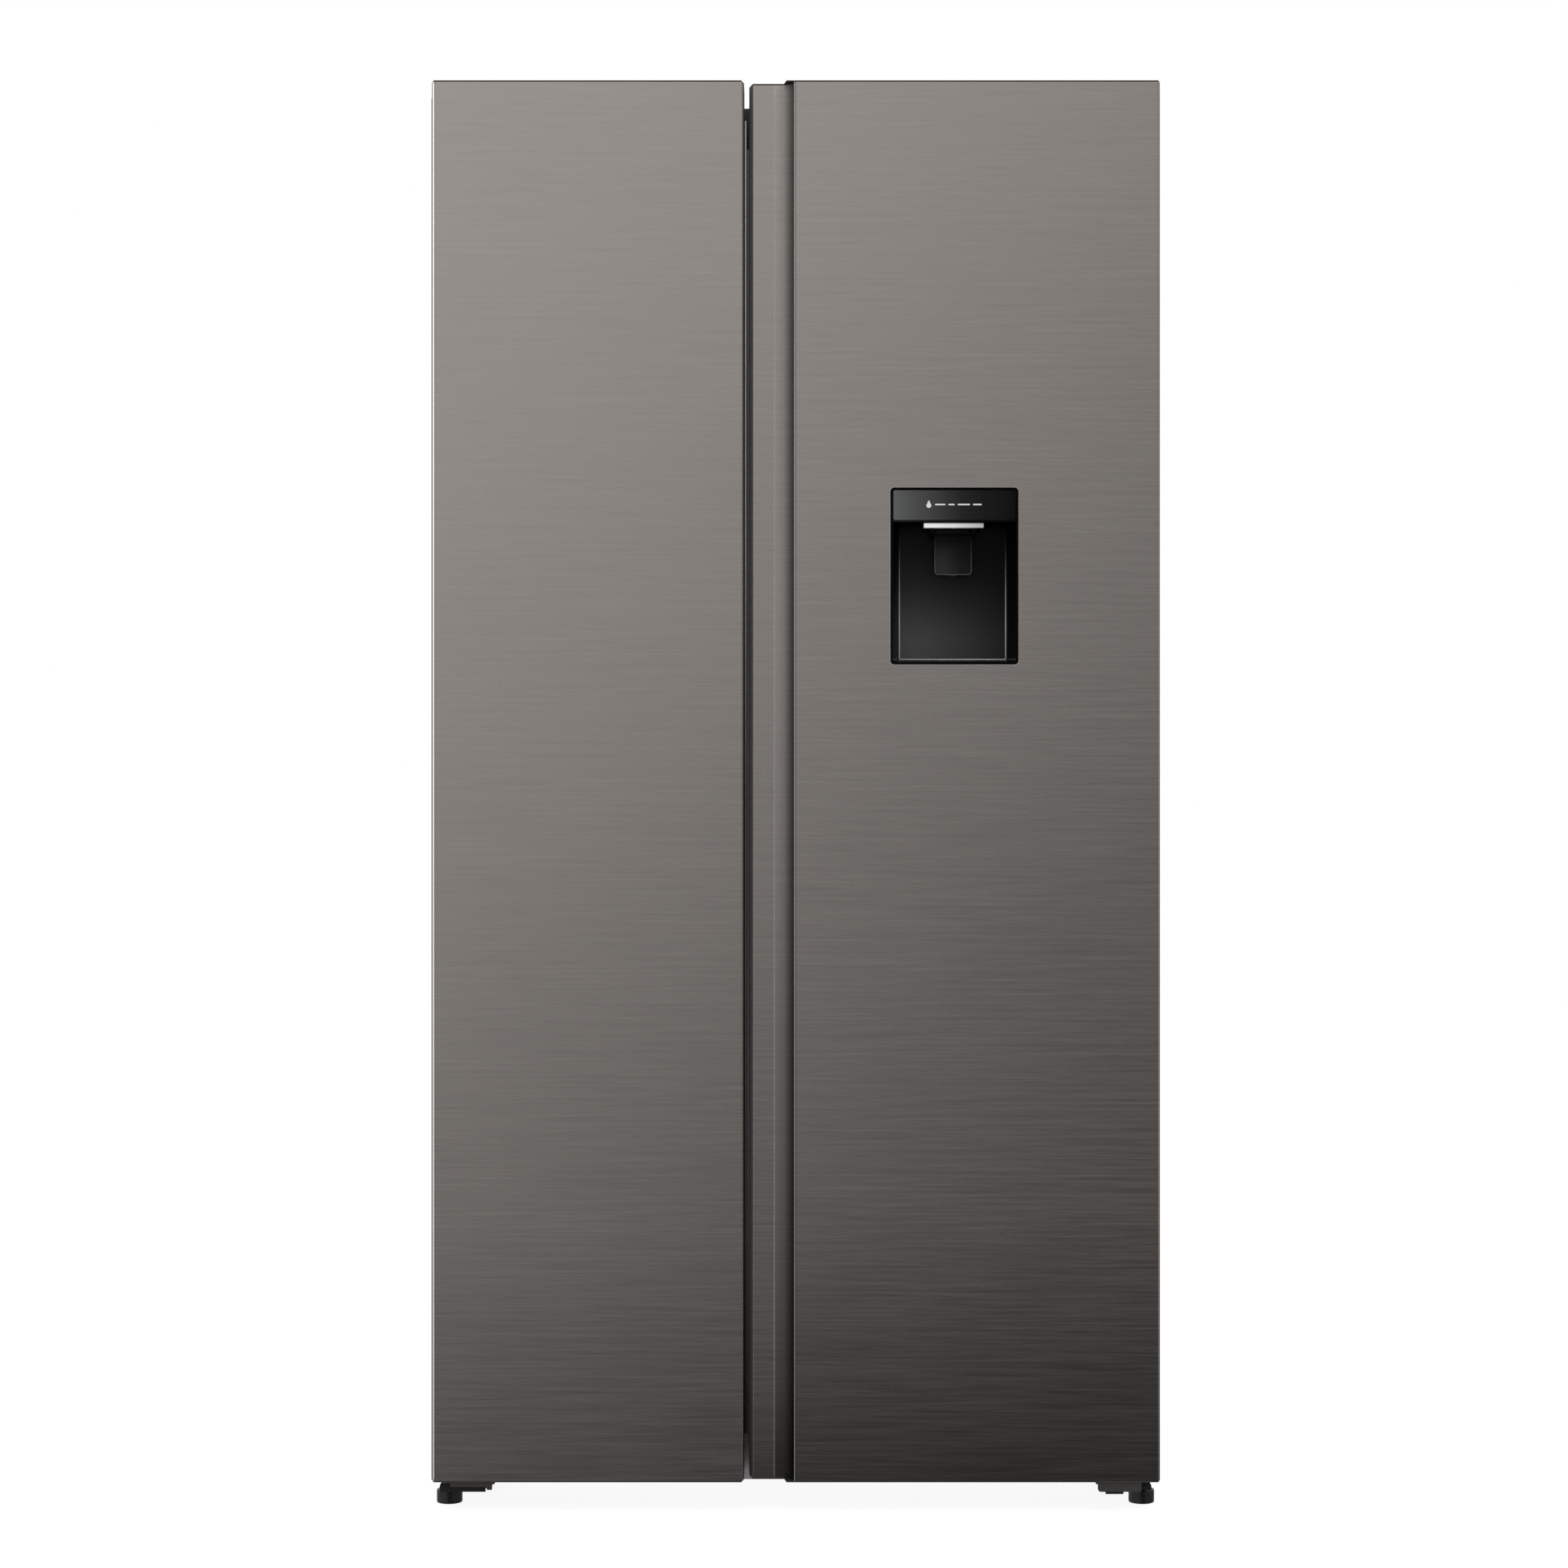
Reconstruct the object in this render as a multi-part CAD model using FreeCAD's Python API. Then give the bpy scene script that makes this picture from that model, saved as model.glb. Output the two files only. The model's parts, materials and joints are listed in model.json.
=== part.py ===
"""Side by side refrigerator, modelled as the assembly it is.

Frame: +X to the right, +Y to the back, +Z up, millimetres. The origin is the
middle of the footprint on the floor. The doors face -Y.
"""
import FreeCAD
import Part
import math
import os

os.makedirs("parts", exist_ok=True)
for old in os.listdir("parts"):
    if old.endswith(".step"):
        os.remove(os.path.join("parts", old))
V = FreeCAD.Vector

# ---------------------------------------------------------------- dimensions
WIDTH = 910.0            # over the side panels
HEIGHT = 1786.0          # floor to door top
HALF = WIDTH / 2
FRONT = -321.5           # front of the dispenser rim, foremost plane
DOOR_FRONT = -320.5      # door faces
DOOR_BACK = -256.5
CAB_FRONT = -246.5       # cabinet frame that the gaskets close on
CAB_BACK = 321.5
DOOR_Z0, DOOR_Z1 = 36.0, 1786.0
CAP_LIP = 1.8            # end cap edge seen above and below the skins
CAB_Z0, CAB_Z1 = 30.0, 1766.0
SHEET = 1.0              # cabinet sheet steel
SKIN = 1.2               # door skin

FZ_DOOR = (-455.0, -64.5)     # freezer door, left and right edge
FR_DOOR = (-58.2, 455.0)      # fridge door, left and right edge
HINGE_X, HINGE_Y = 433.0, -291.5
PIN_R = 6.0
PIN_CLEAR = 0.05

# grip channel along the inner edge of the fridge door
GRIP_FLOOR_Y = -299.5
GRIP_ARC_X = -19.5
GRIP_R = 17.0
GRIP_END_X = GRIP_ARC_X + GRIP_R        # -2.5

# compartments: inner walls of the liners
FZ_IN = (-400.0, -96.0)
FR_IN = (-26.0, 410.0)
IN_Z0, IN_Z1 = 112.0, 1700.0
IN_BACK = 250.0
STEP_Y, STEP_Z = 78.0, 300.0            # step over the machine compartment
LINER = 2.0
LIP_X = 414.0                           # outer edge of the liner lips
MULLION = (-91.0, -31.0)
LIP_Z0, LIP_Z1 = 98.0, 1714.0

# machine compartment
MC_Y0, MC_Z1 = 112.0, 256.0

# shelves and drawers
SHELF_Z = (560.0, 790.0, 1020.0, 1250.0, 1480.0)   # top faces
SHELF_T = 4.0
SHELF_FRONT = -143.0
FZ_SHELF_BACK, FR_SHELF_BACK = 178.0, 212.0
DRAWER_FRONT = -85.0
LOWER_DRAWER_Z = (118.0, 330.0)
UPPER_DRAWER_Z = (348.0, 545.0)

# door liners and bins
DIKE_Y = -222.0
FZ_DIKE = (-396.0, -108.0, -380.0, -124.0)   # outer, outer, inner, inner
FR_DIKE = (-16.0, 404.0, -2.0, 388.0)
DIKE_Z = (122.0, 1690.0, 138.0, 1674.0)
BIN_FRONT = -160.0
BIN_H = 105.0
FZ_BIN_Z = (620.0, 850.0, 1080.0, 1310.0, 1525.0)
FR_BIN_Z = (620.0, 850.0, 1080.0, 1525.0)

# dispenser
DSP = (118.1, 278.2, 1056.7, 1277.9)         # rim outline X0 X1 Z0 Z1
DSP_OPEN = (121.5, 275.0, 1060.5, 1234.8)    # mouth of the alcove
DSP_BACK = (131.0, 265.4, 1064.5, 1234.8)    # back plate of the alcove
DSP_BACK_Y = -275.5
DSP_CX = 197.5
PADDLE_W, PADDLE_Z0, PADDLE_Z1 = 46.6, 1170.0, 1226.0
PADDLE_Y = -300.0
TANK = (60.0, 340.0, -255.8, -165.0, 1300.0, 1438.0)

# feet and rollers
FOOT_X, FOOT_Y, FOOT_R = 437.4, -265.5, 16.2
FRONT_ROLLER_R, FRONT_ROLLER_Y, FRONT_AXLE_Z = 13.0, -195.0, 14.5
REAR_ROLLER_R, REAR_ROLLER_Y = 22.0, 270.0
ROLLER_X, ROLLER_W = 403.5, 24.4
AXLE_R = 3.0

KICK_Z = 24.2              # lower edge of the front rail between the hinges
SEAM_Z = 82.0              # seam between the front rail and the mullion cover
DOOR_R = 3.0               # front vertical edges of the doors
DOOR_R_LEFT = 4.5          # outer left edge, and left edge of the grip strip


# ------------------------------------------------------------------- helpers
def box(x0, x1, y0, y1, z0, z1):
    return Part.makeBox(x1 - x0, y1 - y0, z1 - z0, V(x0, y0, z0))


def cyl(r, p, d, length):
    return Part.makeCylinder(r, length, V(*p), V(*d))


def fuse(shapes):
    s = shapes[0]
    if len(shapes) > 1:
        s = s.multiFuse(shapes[1:])
    return s.removeSplitter()


def cut(a, *bs):
    for b in bs:
        a = a.cut(b)
    return a


def mirror_x(s):
    return s.mirror(V(0, 0, 0), V(1, 0, 0))


def along(s, axis, at=None):
    """Edges of s that run along an axis, and whose middle passes the test at."""
    out = []
    for e in s.Edges:
        if len(e.Vertexes) != 2 or e.Curve.TypeId != "Part::GeomLine":
            continue
        d = e.Vertexes[1].Point - e.Vertexes[0].Point
        c = [abs(d.x), abs(d.y), abs(d.z)]
        if c["XYZ".index(axis)] > 0.999 * d.Length:
            m = (e.Vertexes[1].Point + e.Vertexes[0].Point) * 0.5
            if at is None or at(m):
                out.append(e)
    return out


def rounded(s, axis, r, at=None):
    return s.makeFillet(r, along(s, axis, at))


def prism(points, axis, a, b):
    """Closed outline extruded along an axis. points are 2-D in the order of
    the two other axes; a point may be ('arc', mid, end)."""
    def p3(p, w):
        if axis == "Z":
            return V(p[0], p[1], w)
        if axis == "X":
            return V(w, p[0], p[1])
        return V(p[0], w, p[1])
    edges, last = [], points[0]
    seq = list(points[1:]) + [points[0]]
    for p in seq:
        if p[0] == "arc":
            edges.append(Part.Arc(p3(last, a), p3(p[1], a), p3(p[2], a)).toShape())
            last = p[2]
        else:
            if (p3(last, a) - p3(p, a)).Length > 1e-6:
                edges.append(Part.LineSegment(p3(last, a), p3(p, a)).toShape())
            last = p
    face = Part.Face(Part.Wire(edges))
    d = {"X": V(b - a, 0, 0), "Y": V(0, b - a, 0), "Z": V(0, 0, b - a)}[axis]
    return face.extrude(d)


def solid_of(s):
    """The one solid in s, so that a node holds a plain solid."""
    if len(s.Solids) == 1:
        return s.Solids[0]
    return s


def save(name, *solids):
    flat = []
    for s in solids:
        flat += s.Solids
    shape = flat[0] if len(flat) == 1 else Part.makeCompound(flat)
    for s in flat:
        if not s.isValid():
            print("not valid:", name)
    shape.exportStep("parts/%s.step" % name)
    print(name, len(flat), "solid(s)", round(sum(s.Volume for s in flat) / 1000.0), "cm3")


# ------------------------------------------------------------------- cabinet
def side_panel():
    """Left side: one folded sheet with a front flange and a back flange."""
    s = fuse([
        box(-HALF, -HALF + SHEET, CAB_FRONT, CAB_BACK, CAB_Z0, CAB_Z1),
        box(-HALF, -LIP_X, CAB_FRONT, CAB_FRONT + 1.2, CAB_Z0, CAB_Z1),
        box(-HALF, -HALF + 14, CAB_BACK - 1, CAB_BACK, CAB_Z0, CAB_Z1),
    ])
    return rounded(s, "Z", 2.0, lambda m: abs(m.x + HALF) < 0.01 and abs(m.y - CAB_FRONT) < 0.01)


left_side = side_panel()
save("left_side_panel", left_side)
save("right_side_panel", mirror_x(left_side))

top = fuse([
    box(-HALF + SHEET, HALF - SHEET, CAB_FRONT + 1.2, CAB_BACK - 1, CAB_Z1 - 1.2, CAB_Z1),
    box(-LIP_X, LIP_X, CAB_FRONT, CAB_FRONT + 1.2, LIP_Z1, CAB_Z1),
])
save("top_panel", top)

# back sheet, between the back flanges of the side panels
back = box(-HALF + 14, HALF - 14, CAB_BACK - 1, CAB_BACK, MC_Z1 + 4, CAB_Z1)
save("back_panel", back)


def base():
    """Bottom pan: floor, front rail, riser and roof of the machine bay, ears
    for the rear rollers."""
    parts = [
        box(-HALF + SHEET, HALF - SHEET, CAB_FRONT + 1.2, CAB_BACK - 3, CAB_Z0, CAB_Z0 + 2),
        box(-LIP_X, LIP_X, CAB_FRONT, CAB_FRONT + 1.2, CAB_Z0, LIP_Z0),
        box(-370, 370, CAB_FRONT, CAB_FRONT + 1.2, KICK_Z, CAB_Z0 + 1),
        box(-HALF + SHEET, HALF - SHEET, MC_Y0 - 2, MC_Y0, CAB_Z0 + 2, MC_Z1),
        box(-HALF + SHEET, HALF - SHEET, MC_Y0 - 2, CAB_BACK - 1, MC_Z1, MC_Z1 + 2),
    ]
    for sx in (-1, 1):
        for x in (ROLLER_X - 15.4, ROLLER_X + 12.4):
            a, b = sorted((sx * x, sx * (x + 3)))
            parts.append(box(a, b, REAR_ROLLER_Y - 12, REAR_ROLLER_Y + 12, 14, CAB_Z0 + 0.5))
    s = cut(fuse(parts), box(MULLION[0], MULLION[1], CAB_FRONT - 1, CAB_FRONT + 1.2, SEAM_Z, LIP_Z0 + 1))
    for sx in (-1, 1):
        a, b = sorted((sx * (ROLLER_X - 12.4), sx * (ROLLER_X + 12.4)))
        s = cut(s, box(a, b, REAR_ROLLER_Y - 25, REAR_ROLLER_Y + 25, 20, CAB_Z0 + 4))
        a, b = sorted((sx * (ROLLER_X - 20), sx * (ROLLER_X + 20)))
        s = cut(s, cyl(AXLE_R, (a, REAR_ROLLER_Y, REAR_ROLLER_R), (1, 0, 0), b - a))
    return s


base_pan = base()
save("base_pan", base_pan)


# liners: one moulded shell for each compartment, with a lip at its mouth and
# a step at the back over the machine bay
def liner(inner, lip):
    x0, x1 = inner

    def room(g, y_front):
        pts = [(y_front, IN_Z0 - g), (STEP_Y - 12 + g * 0.4, IN_Z0 - g), (STEP_Y + g, STEP_Z - g * 0),
               (STEP_Y + g, STEP_Z), (IN_BACK + g, STEP_Z + 14), (IN_BACK + g, IN_Z1 + g), (y_front, IN_Z1 + g)]
        if g > 0:
            # outer skin: drop the slanted walls by the wall thickness
            pts = [(y_front, IN_Z0 - g), (STEP_Y - 12 + g, IN_Z0 - g), (STEP_Y + g, STEP_Z - g),
                   (IN_BACK + g, STEP_Z + 14 - g), (IN_BACK + g, IN_Z1 + g), (y_front, IN_Z1 + g)]
        else:
            pts = [(y_front, IN_Z0), (STEP_Y - 12, IN_Z0), (STEP_Y, STEP_Z),
                   (IN_BACK, STEP_Z + 14), (IN_BACK, IN_Z1), (y_front, IN_Z1)]
        s = prism(pts, "X", x0 - g, x1 + g)
        return rounded(s, "Y", 14.0 + g)

    outer = room(LINER, CAB_FRONT)
    flange = box(lip[0], lip[1], CAB_FRONT, CAB_FRONT + 2, LIP_Z0, LIP_Z1)
    shell = cut(fuse([outer, flange]), room(0, CAB_FRONT - 5))
    return solid_of(shell), outer


fz_liner, fz_outer = liner(FZ_IN, (-LIP_X, MULLION[0]))
fr_liner, fr_outer = liner(FR_IN, (MULLION[1], LIP_X))
save("freezer_liner", fz_liner)
save("fridge_liner", fr_liner)

mullion = box(MULLION[0], MULLION[1], CAB_FRONT, CAB_FRONT + 1.2, SEAM_Z + 0.8, LIP_Z1)
save("mullion_cover", mullion)

foam = box(-HALF + SHEET, HALF - SHEET, CAB_FRONT + 1.2, CAB_BACK - 1, CAB_Z0 + 2, CAB_Z1 - 1.2)
foam = cut(foam, fz_outer, fr_outer,
           box(-LIP_X, LIP_X, CAB_FRONT, CAB_FRONT + 2, LIP_Z0, LIP_Z1),
           box(-HALF, HALF, MC_Y0 - 2, CAB_BACK, CAB_Z0, MC_Z1 + 2))
save("cabinet_foam", foam)

# ------------------------------------------------- machine bay at the bottom
cover = box(-HALF + 14, HALF - 14, CAB_BACK - 3, CAB_BACK - 1, CAB_Z0 + 4, MC_Z1 - 1)
slots = []
for row in range(9):
    z = 70 + row * 18
    for x0 in (-400, -245, 95, 250):
        slots.append(box(x0, x0 + 140, CAB_BACK - 4, CAB_BACK, z, z + 6))
cover = cut(cover, Part.makeCompound(slots))
# cord gland moulded in the cover
gland = fuse([cyl(11, (20, CAB_BACK - 6, 60), (0, 1, 0), 6), cyl(8, (20, CAB_BACK - 12, 60), (0, 1, 0), 8)])
cover = cut(fuse([cover, gland]), cyl(4.2, (20, CAB_BACK - 14, 60), (0, 1, 0), 20))
save("machine_cover", cover)

# compressor: welded steel pot on a foot plate, rubber grommets, three stubs
CX, CY = 225.0, 205.0
pot = rounded(box(CX - 95, CX + 95, CY - 68, CY + 68, 62, 210), "Z", 55)
pot = pot.makeFillet(26, [e for e in pot.Edges if abs(e.BoundBox.ZMin - 210) < 0.01 and abs(e.BoundBox.ZMax - 210) < 0.01])
comp = [pot, box(CX - 100, CX + 100, CY - 60, CY + 60, 44, 62.5),
        cyl(4, (CX - 90, CY - 20, 120), (-1, 0, 0), 26), cyl(3, (CX - 90, CY + 15, 100), (-1, 0, 0), 22),
        cyl(4, (CX - 90, CY + 38, 140), (-1, 0, 0), 24)]
for dx in (-85, 85):
    for dy in (-45, 45):
        comp.append(cyl(10, (CX + dx, CY + dy, 32), (0, 0, 1), 13))
save("compressor", fuse(comp))


def serpentine(x0, x1, y0, pitch, runs, z, r):
    """One layer of condenser tube: straight runs joined by half turns."""
    edges, y = [], y0
    for i in range(runs):
        a, b = (x0, x1) if i % 2 == 0 else (x1, x0)
        edges.append(Part.LineSegment(V(a, y, z), V(b, y, z)).toShape())
        if i < runs - 1:
            out = pitch / 2 if b > a else -pitch / 2
            edges.append(Part.Arc(V(b, y, z), V(b + out, y + pitch / 2, z), V(b, y + pitch, z)).toShape())
            y += pitch
    wire = Part.Wire(edges)
    circle = Part.Wire(Part.makeCircle(r, V(x0, y0, z), V(1, 0, 0)))
    return Part.Wire(wire).makePipeShell([circle], True, False)


layers = [serpentine(-305, -95, 140, 22, 7, z, 3.0) for z in (90, 125, 160, 195)]
ends = [box(x, x + 1.5, 130, 282, 64, 212) for x in (-300, -101.5)]
coil = fuse(layers + ends)
save("condenser_coil", coil)

tray = cut(box(-330, -70, 128, 300, 34, 58), box(-328, -72, 130, 298, 36, 70))
save("drain_tray", tray)


def fan(cx, cy, cz, axis, r_hub, r_tip, w):
    """Hub with five pitched blades, built along +X and then turned."""
    parts = [cyl(r_hub, (-w / 2, 0, 0), (1, 0, 0), w)]
    for i in range(5):
        b = box(-1, 1, -13, 13, r_hub - 4, r_tip)
        b = rounded(b, "X", 9.0, lambda m: m.z > r_tip - 1)
        b.rotate(V(0, 0, 0), V(0, 0, 1), 32)
        b.rotate(V(0, 0, 0), V(1, 0, 0), i * 72)
        parts.append(b)
    s = fuse(parts)
    s = cut(s, cyl(2.5 + PIN_CLEAR, (-w / 2 - 1, 0, 0), (1, 0, 0), w - 3))
    if axis == "Y":
        s.rotate(V(0, 0, 0), V(0, 0, 1), -90)
    s.translate(V(cx, cy, cz))
    return s


# condenser fan draws air through the coil; its shaft points to -X
CF = (-20.0, 210.0, 140.0)
save("condenser_fan", fan(CF[0], CF[1], CF[2], "X", 18, 62, 22))
# evaporator fan blows forward through the grille; motor behind it
EF = (-248.0, 206.0, 760.0)
ev = fan(0, 0, 0, "X", 16, 52, 18)
ev.rotate(V(0, 0, 0), V(0, 0, 1), 90)      # bore mouth, at -X, turns to -Y
ev.rotate(V(0, 0, 0), V(0, 0, 1), 180)     # and on to +Y, where the motor is
ev.translate(V(*EF))
save("evaporator_fan", ev)

# fan motors, each with its shaft and a cross bracket
cf = fan  # name kept short below
m1 = fuse([cyl(20, (-58, CF[1], CF[2]), (1, 0, 0), 24), cyl(2.5, (-36, CF[1], CF[2]), (1, 0, 0), 18),
           box(-54, -50, CF[1] - 3, CF[1] + 3, 32, 250),
           box(-54, -50, CF[1] - 30, CF[1] + 30, 32, 36)])
m2 = fuse([cyl(18, (EF[0], 226, EF[2]), (0, 1, 0), 20), cyl(2.5, (EF[0], 201, EF[2]), (0, 1, 0), 26),
           box(EF[0] - 62, EF[0] + 62, 241, 244, EF[2] - 5, EF[2] + 5)])
save("fan_motors", m1, m2)

# ---------------------------------------------------------- cold compartment
fins = [box(x, x + 1.2, 198, 238, 440, 640) for x in range(-380, -119, 13)]
tubes = []
for iy, y in enumerate((208, 228)):
    for z in range(455, 640, 25):
        tubes.append(cyl(4, (-388, y, z), (1, 0, 0), 281))
save("evaporator", fuse(fins + tubes))

ec = cut(box(-398.5, -97.5, 180, IN_BACK - 0.5, 420, 1300), box(-396.5, -99.5, 182, IN_BACK, 422, 1298))
grille = []
for i in range(-5, 6):
    half = math.sqrt(max(50 ** 2 - (i * 9) ** 2, 0))
    grille.append(box(EF[0] - half, EF[0] + half, 179, 183, EF[2] + i * 9 - 2.5, EF[2] + i * 9 + 2.5))
for z in (940, 960, 980, 1150, 1170, 1190):
    for x0 in (-360, -225):
        grille.append(box(x0, x0 + 100, 179, 183, z, z + 7))
for x in range(-380, -120, 16):
    grille.append(box(x, x + 8, 179, 183, 430, 448))
ec = cut(ec, Part.makeCompound(grille))
save("evaporator_cover", ec)

DUCT = (120.0, 266.0)
duct = cut(rounded(box(DUCT[0], DUCT[1], 215, IN_BACK, 430, 1640), "Z", 10, lambda m: m.y < 216),
           box(DUCT[0] + 2, DUCT[1] - 2, 217, IN_BACK + 1, 432, 1638))
vents = []
for z in (520, 740, 970, 1200, 1430, 1600):
    for x0 in (135, 200):
        vents.append(box(x0, x0 + 50, 214, 218, z, z + 7))
        vents.append(box(x0, x0 + 50, 214, 218, z + 13, z + 20))
duct = cut(duct, Part.makeCompound(vents))
DIAL = (193.0, 1540.0)
duct = fuse([duct, cyl(3, (DIAL[0], 218, DIAL[1]), (0, -1, 0), 12)])
save("fridge_air_duct", duct)

dial = fuse([cyl(19, (DIAL[0], 214.5, DIAL[1]), (0, -1, 0), 4),
             cyl(15, (DIAL[0], 214.5, DIAL[1]), (0, -1, 0), 13)])
dial = dial.makeFillet(1.5, [e for e in dial.Edges if abs(e.BoundBox.YMin - 201.5) < 0.01 and abs(e.BoundBox.YMax - 201.5) < 0.01])
dial = cut(dial, cyl(3 + PIN_CLEAR, (DIAL[0], 215, DIAL[1]), (0, -1, 0), 9.5),
           box(DIAL[0] - 1.2, DIAL[0] + 1.2, 201, 202.5, DIAL[1] + 4, DIAL[1] + 16))
save("temperature_dial", dial)

lamps = []
for cx in ((FZ_IN[0] + FZ_IN[1]) / 2, (FR_IN[0] + FR_IN[1]) / 2):
    lamp = rounded(box(cx - 60, cx + 60, -90, -20, IN_Z1 - 14, IN_Z1), "Z", 12)
    lamp = lamp.makeFillet(5, [e for e in lamp.Edges if abs(e.BoundBox.ZMin - IN_Z1 + 14) < 0.01 and abs(e.BoundBox.ZMax - IN_Z1 + 14) < 0.01])
    lamps.append(lamp)
save("interior_lamps", *lamps)


# shelves: glass plates that rest on moulded rails, with a trim on the front
def shelf_plates(inner, back):
    return [box(inner[0] + 1.0, inner[1] - 1.0, SHELF_FRONT, back, z - SHELF_T, z) for z in SHELF_Z]


def shelf_trim(inner):
    out = []
    for z in SHELF_Z:
        t = rounded(box(inner[0] + 1.2, inner[1] - 1.2, SHELF_FRONT - 6, SHELF_FRONT + 12, z - 11, z + 3), "X", 3.0)
        out.append(cut(t, box(inner[0], inner[1], SHELF_FRONT, SHELF_FRONT + 30, z - SHELF_T, z)))
    return out


save("glass_shelves", *(shelf_plates(FZ_IN, FZ_SHELF_BACK) + shelf_plates(FR_IN, FR_SHELF_BACK)))
save("shelf_trims", *(shelf_trim(FZ_IN) + shelf_trim(FR_IN)))

rails = []
for inner, back in ((FZ_IN, FZ_SHELF_BACK), (FR_IN, FR_SHELF_BACK)):
    for z in SHELF_Z:
        for a, b in ((inner[0], inner[0] + 7), (inner[1] - 7, inner[1])):
            rails.append(box(a, b, SHELF_FRONT + 16, back - 12, z - SHELF_T - 6, z - SHELF_T))
    for a, b in ((inner[0], inner[0] + 9), (inner[1] - 9, inner[1])):
        rails.append(box(a, b, DRAWER_FRONT - 8, STEP_Y + 90, UPPER_DRAWER_Z[0] - 7, UPPER_DRAWER_Z[0] - 0.5))
save("shelf_rails", *rails)


def drawer(inner, zs, back):
    """Open tray with rounded corners, a thicker front and a finger lip."""
    x0, x1 = inner[0] + 3, inner[1] - 3
    z0, z1 = zs
    y0 = DRAWER_FRONT
    # sides step in below the rails' level, so the tray hangs between them
    outer = rounded(box(x0 + 8, x1 - 8, y0, back, z0, z1), "Z", 8, lambda m: m.y > y0 + 1)
    inside = rounded(box(x0 + 10.5, x1 - 10.5, y0 + 4, back - 2.5, z0 + 3, z1 + 5), "Z", 6)
    rim = box(x0, x1, y0, back - 4, z1 - 3, z1)
    face = rounded(box(x0, x1, y0, y0 + 4, z0 + 1, z1), "Y", 5)
    lip = prism([(y0 + 0.5, z1), (y0 - 12, z1), (y0 - 14, z1 - 4), (y0 - 14, z1 - 16), (y0 - 11, z1 - 18),
                 (y0 - 10, z1 - 6), (y0 + 0.5, z1 - 5)], "X", x0 + 60, x1 - 60)
    return solid_of(cut(fuse([outer, rim, face, lip]), inside))


save("freezer_drawer_lower", drawer(FZ_IN, LOWER_DRAWER_Z, 62))
save("crisper_lower", drawer(FR_IN, LOWER_DRAWER_Z, 62))
save("freezer_drawer_upper", drawer(FZ_IN, UPPER_DRAWER_Z, 172))
save("crisper_upper", drawer(FR_IN, UPPER_DRAWER_Z, 205))


# ------------------------------------------------------------------- hinges
def upper_hinge():
    """Left upper hinge: plate on the cabinet top, arm over the door, pin."""
    plate = rounded(box(-446, -372, -238, -150, CAB_Z1, CAB_Z1 + 5), "Z", 8)
    arm = box(-HINGE_X - 9, -HINGE_X + 9, HINGE_Y, -230, CAB_Z1, CAB_Z1 + 5)
    eye = cyl(9, (-HINGE_X, HINGE_Y, CAB_Z1), (0, 0, 1), 5)
    pin = cyl(PIN_R, (-HINGE_X, HINGE_Y, CAB_Z1 - 22), (0, 0, 1), 24)
    s = fuse([plate, arm, eye, pin])
    for x, y in HINGE_HOLES:
        s = cut(s, cyl(3.2, (x, y, CAB_Z1 - 1), (0, 0, 1), 8))
    return s


HINGE_HOLES = [(-434, -215), (-386, -215), (-410, -165)]
uh = upper_hinge()
save("upper_hinges", uh, mirror_x(uh))

hc = box(-451, -366, -243, -140, CAB_Z1, CAB_Z1 + 17)
hc = rounded(hc, "Z", 9)
hc = hc.makeFillet(4, [e for e in hc.Edges if abs(e.BoundBox.ZMin - CAB_Z1 - 17) < 0.01 and abs(e.BoundBox.ZMax - CAB_Z1 - 17) < 0.01])
hc = cut(hc, rounded(box(-449, -368, -241, -142, CAB_Z1 - 1, CAB_Z1 + 15), "Z", 7),
         box(-HINGE_X - 9.5, -HINGE_X + 9.5, -260, -238, CAB_Z1 - 1, CAB_Z1 + 5.5))
save("hinge_covers", hc, mirror_x(hc))


def lower_hinge(lips):
    """Left lower hinge: plate under the cabinet with a notched front, front
    lips, pin, foot nut and the two ears of the front roller."""
    x0, x1 = -446.0, -384.0
    ry, rz = FRONT_ROLLER_Y, FRONT_AXLE_Z
    parts = [
        box(x0, x1, -288, -150, 24, 28.5),
        box(x0, -388.6, -304, -287, 24, 28.5),
        box(x0 + 4, x1 - 4, -244, -150, 28.4, CAB_Z0),
        cyl(PIN_R, (-HINGE_X, HINGE_Y, 26), (0, 0, 1), 26),
        cyl(10, (-HINGE_X, HINGE_Y, 26), (0, 0, 1), 9.6),
        box(-390.3, -386.3, ry - 9, ry + 9, rz - 6, 25),
        box(-420.5, -416.7, ry - 9, ry + 9, rz - 6, 25),
    ]
    for a, b, z in lips:
        parts.append(box(a, b, -304, -301, z, 28.5))
    s = fuse(parts)
    s = cut(s, box(-416.7, -390.3, ry - 16, ry + 16, 5, 40),
            cyl(AXLE_R, (-430, ry, rz), (1, 0, 0), 60),
            cyl(5 + PIN_CLEAR, (-FOOT_X, FOOT_Y, 10), (0, 0, 1), 40))
    for x, y in LOWER_HOLES:
        s = cut(s, cyl(3.2, (x, y, 20), (0, 0, 1), 12))
    return solid_of(s)


LOWER_HOLES = [(-438, -225), (-400, -228), (-424, -168)]
save("lower_hinge_left", lower_hinge([(-446.0, -388.6, 20.6)]))
save("lower_hinge_right", mirror_x(lower_hinge([(-446.0, -410.9, 22.8), (-411.0, -388.6, 17.8)])))


def bolt(x, y, z_seat, up, shank):
    """Hexagon flange bolt; up is +1 when the head is on top."""
    head = prism([(x + 5.5 * math.cos(math.radians(a)), y + 5.5 * math.sin(math.radians(a))) for a in range(0, 360, 60)],
                 "Z", z_seat, z_seat + up * 4.5)
    fl = cyl(6.5, (x, y, z_seat), (0, 0, up), 1.2)
    sh = cyl(3.0, (x, y, z_seat), (0, 0, -up), shank)
    return fuse([head, fl, sh])


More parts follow.
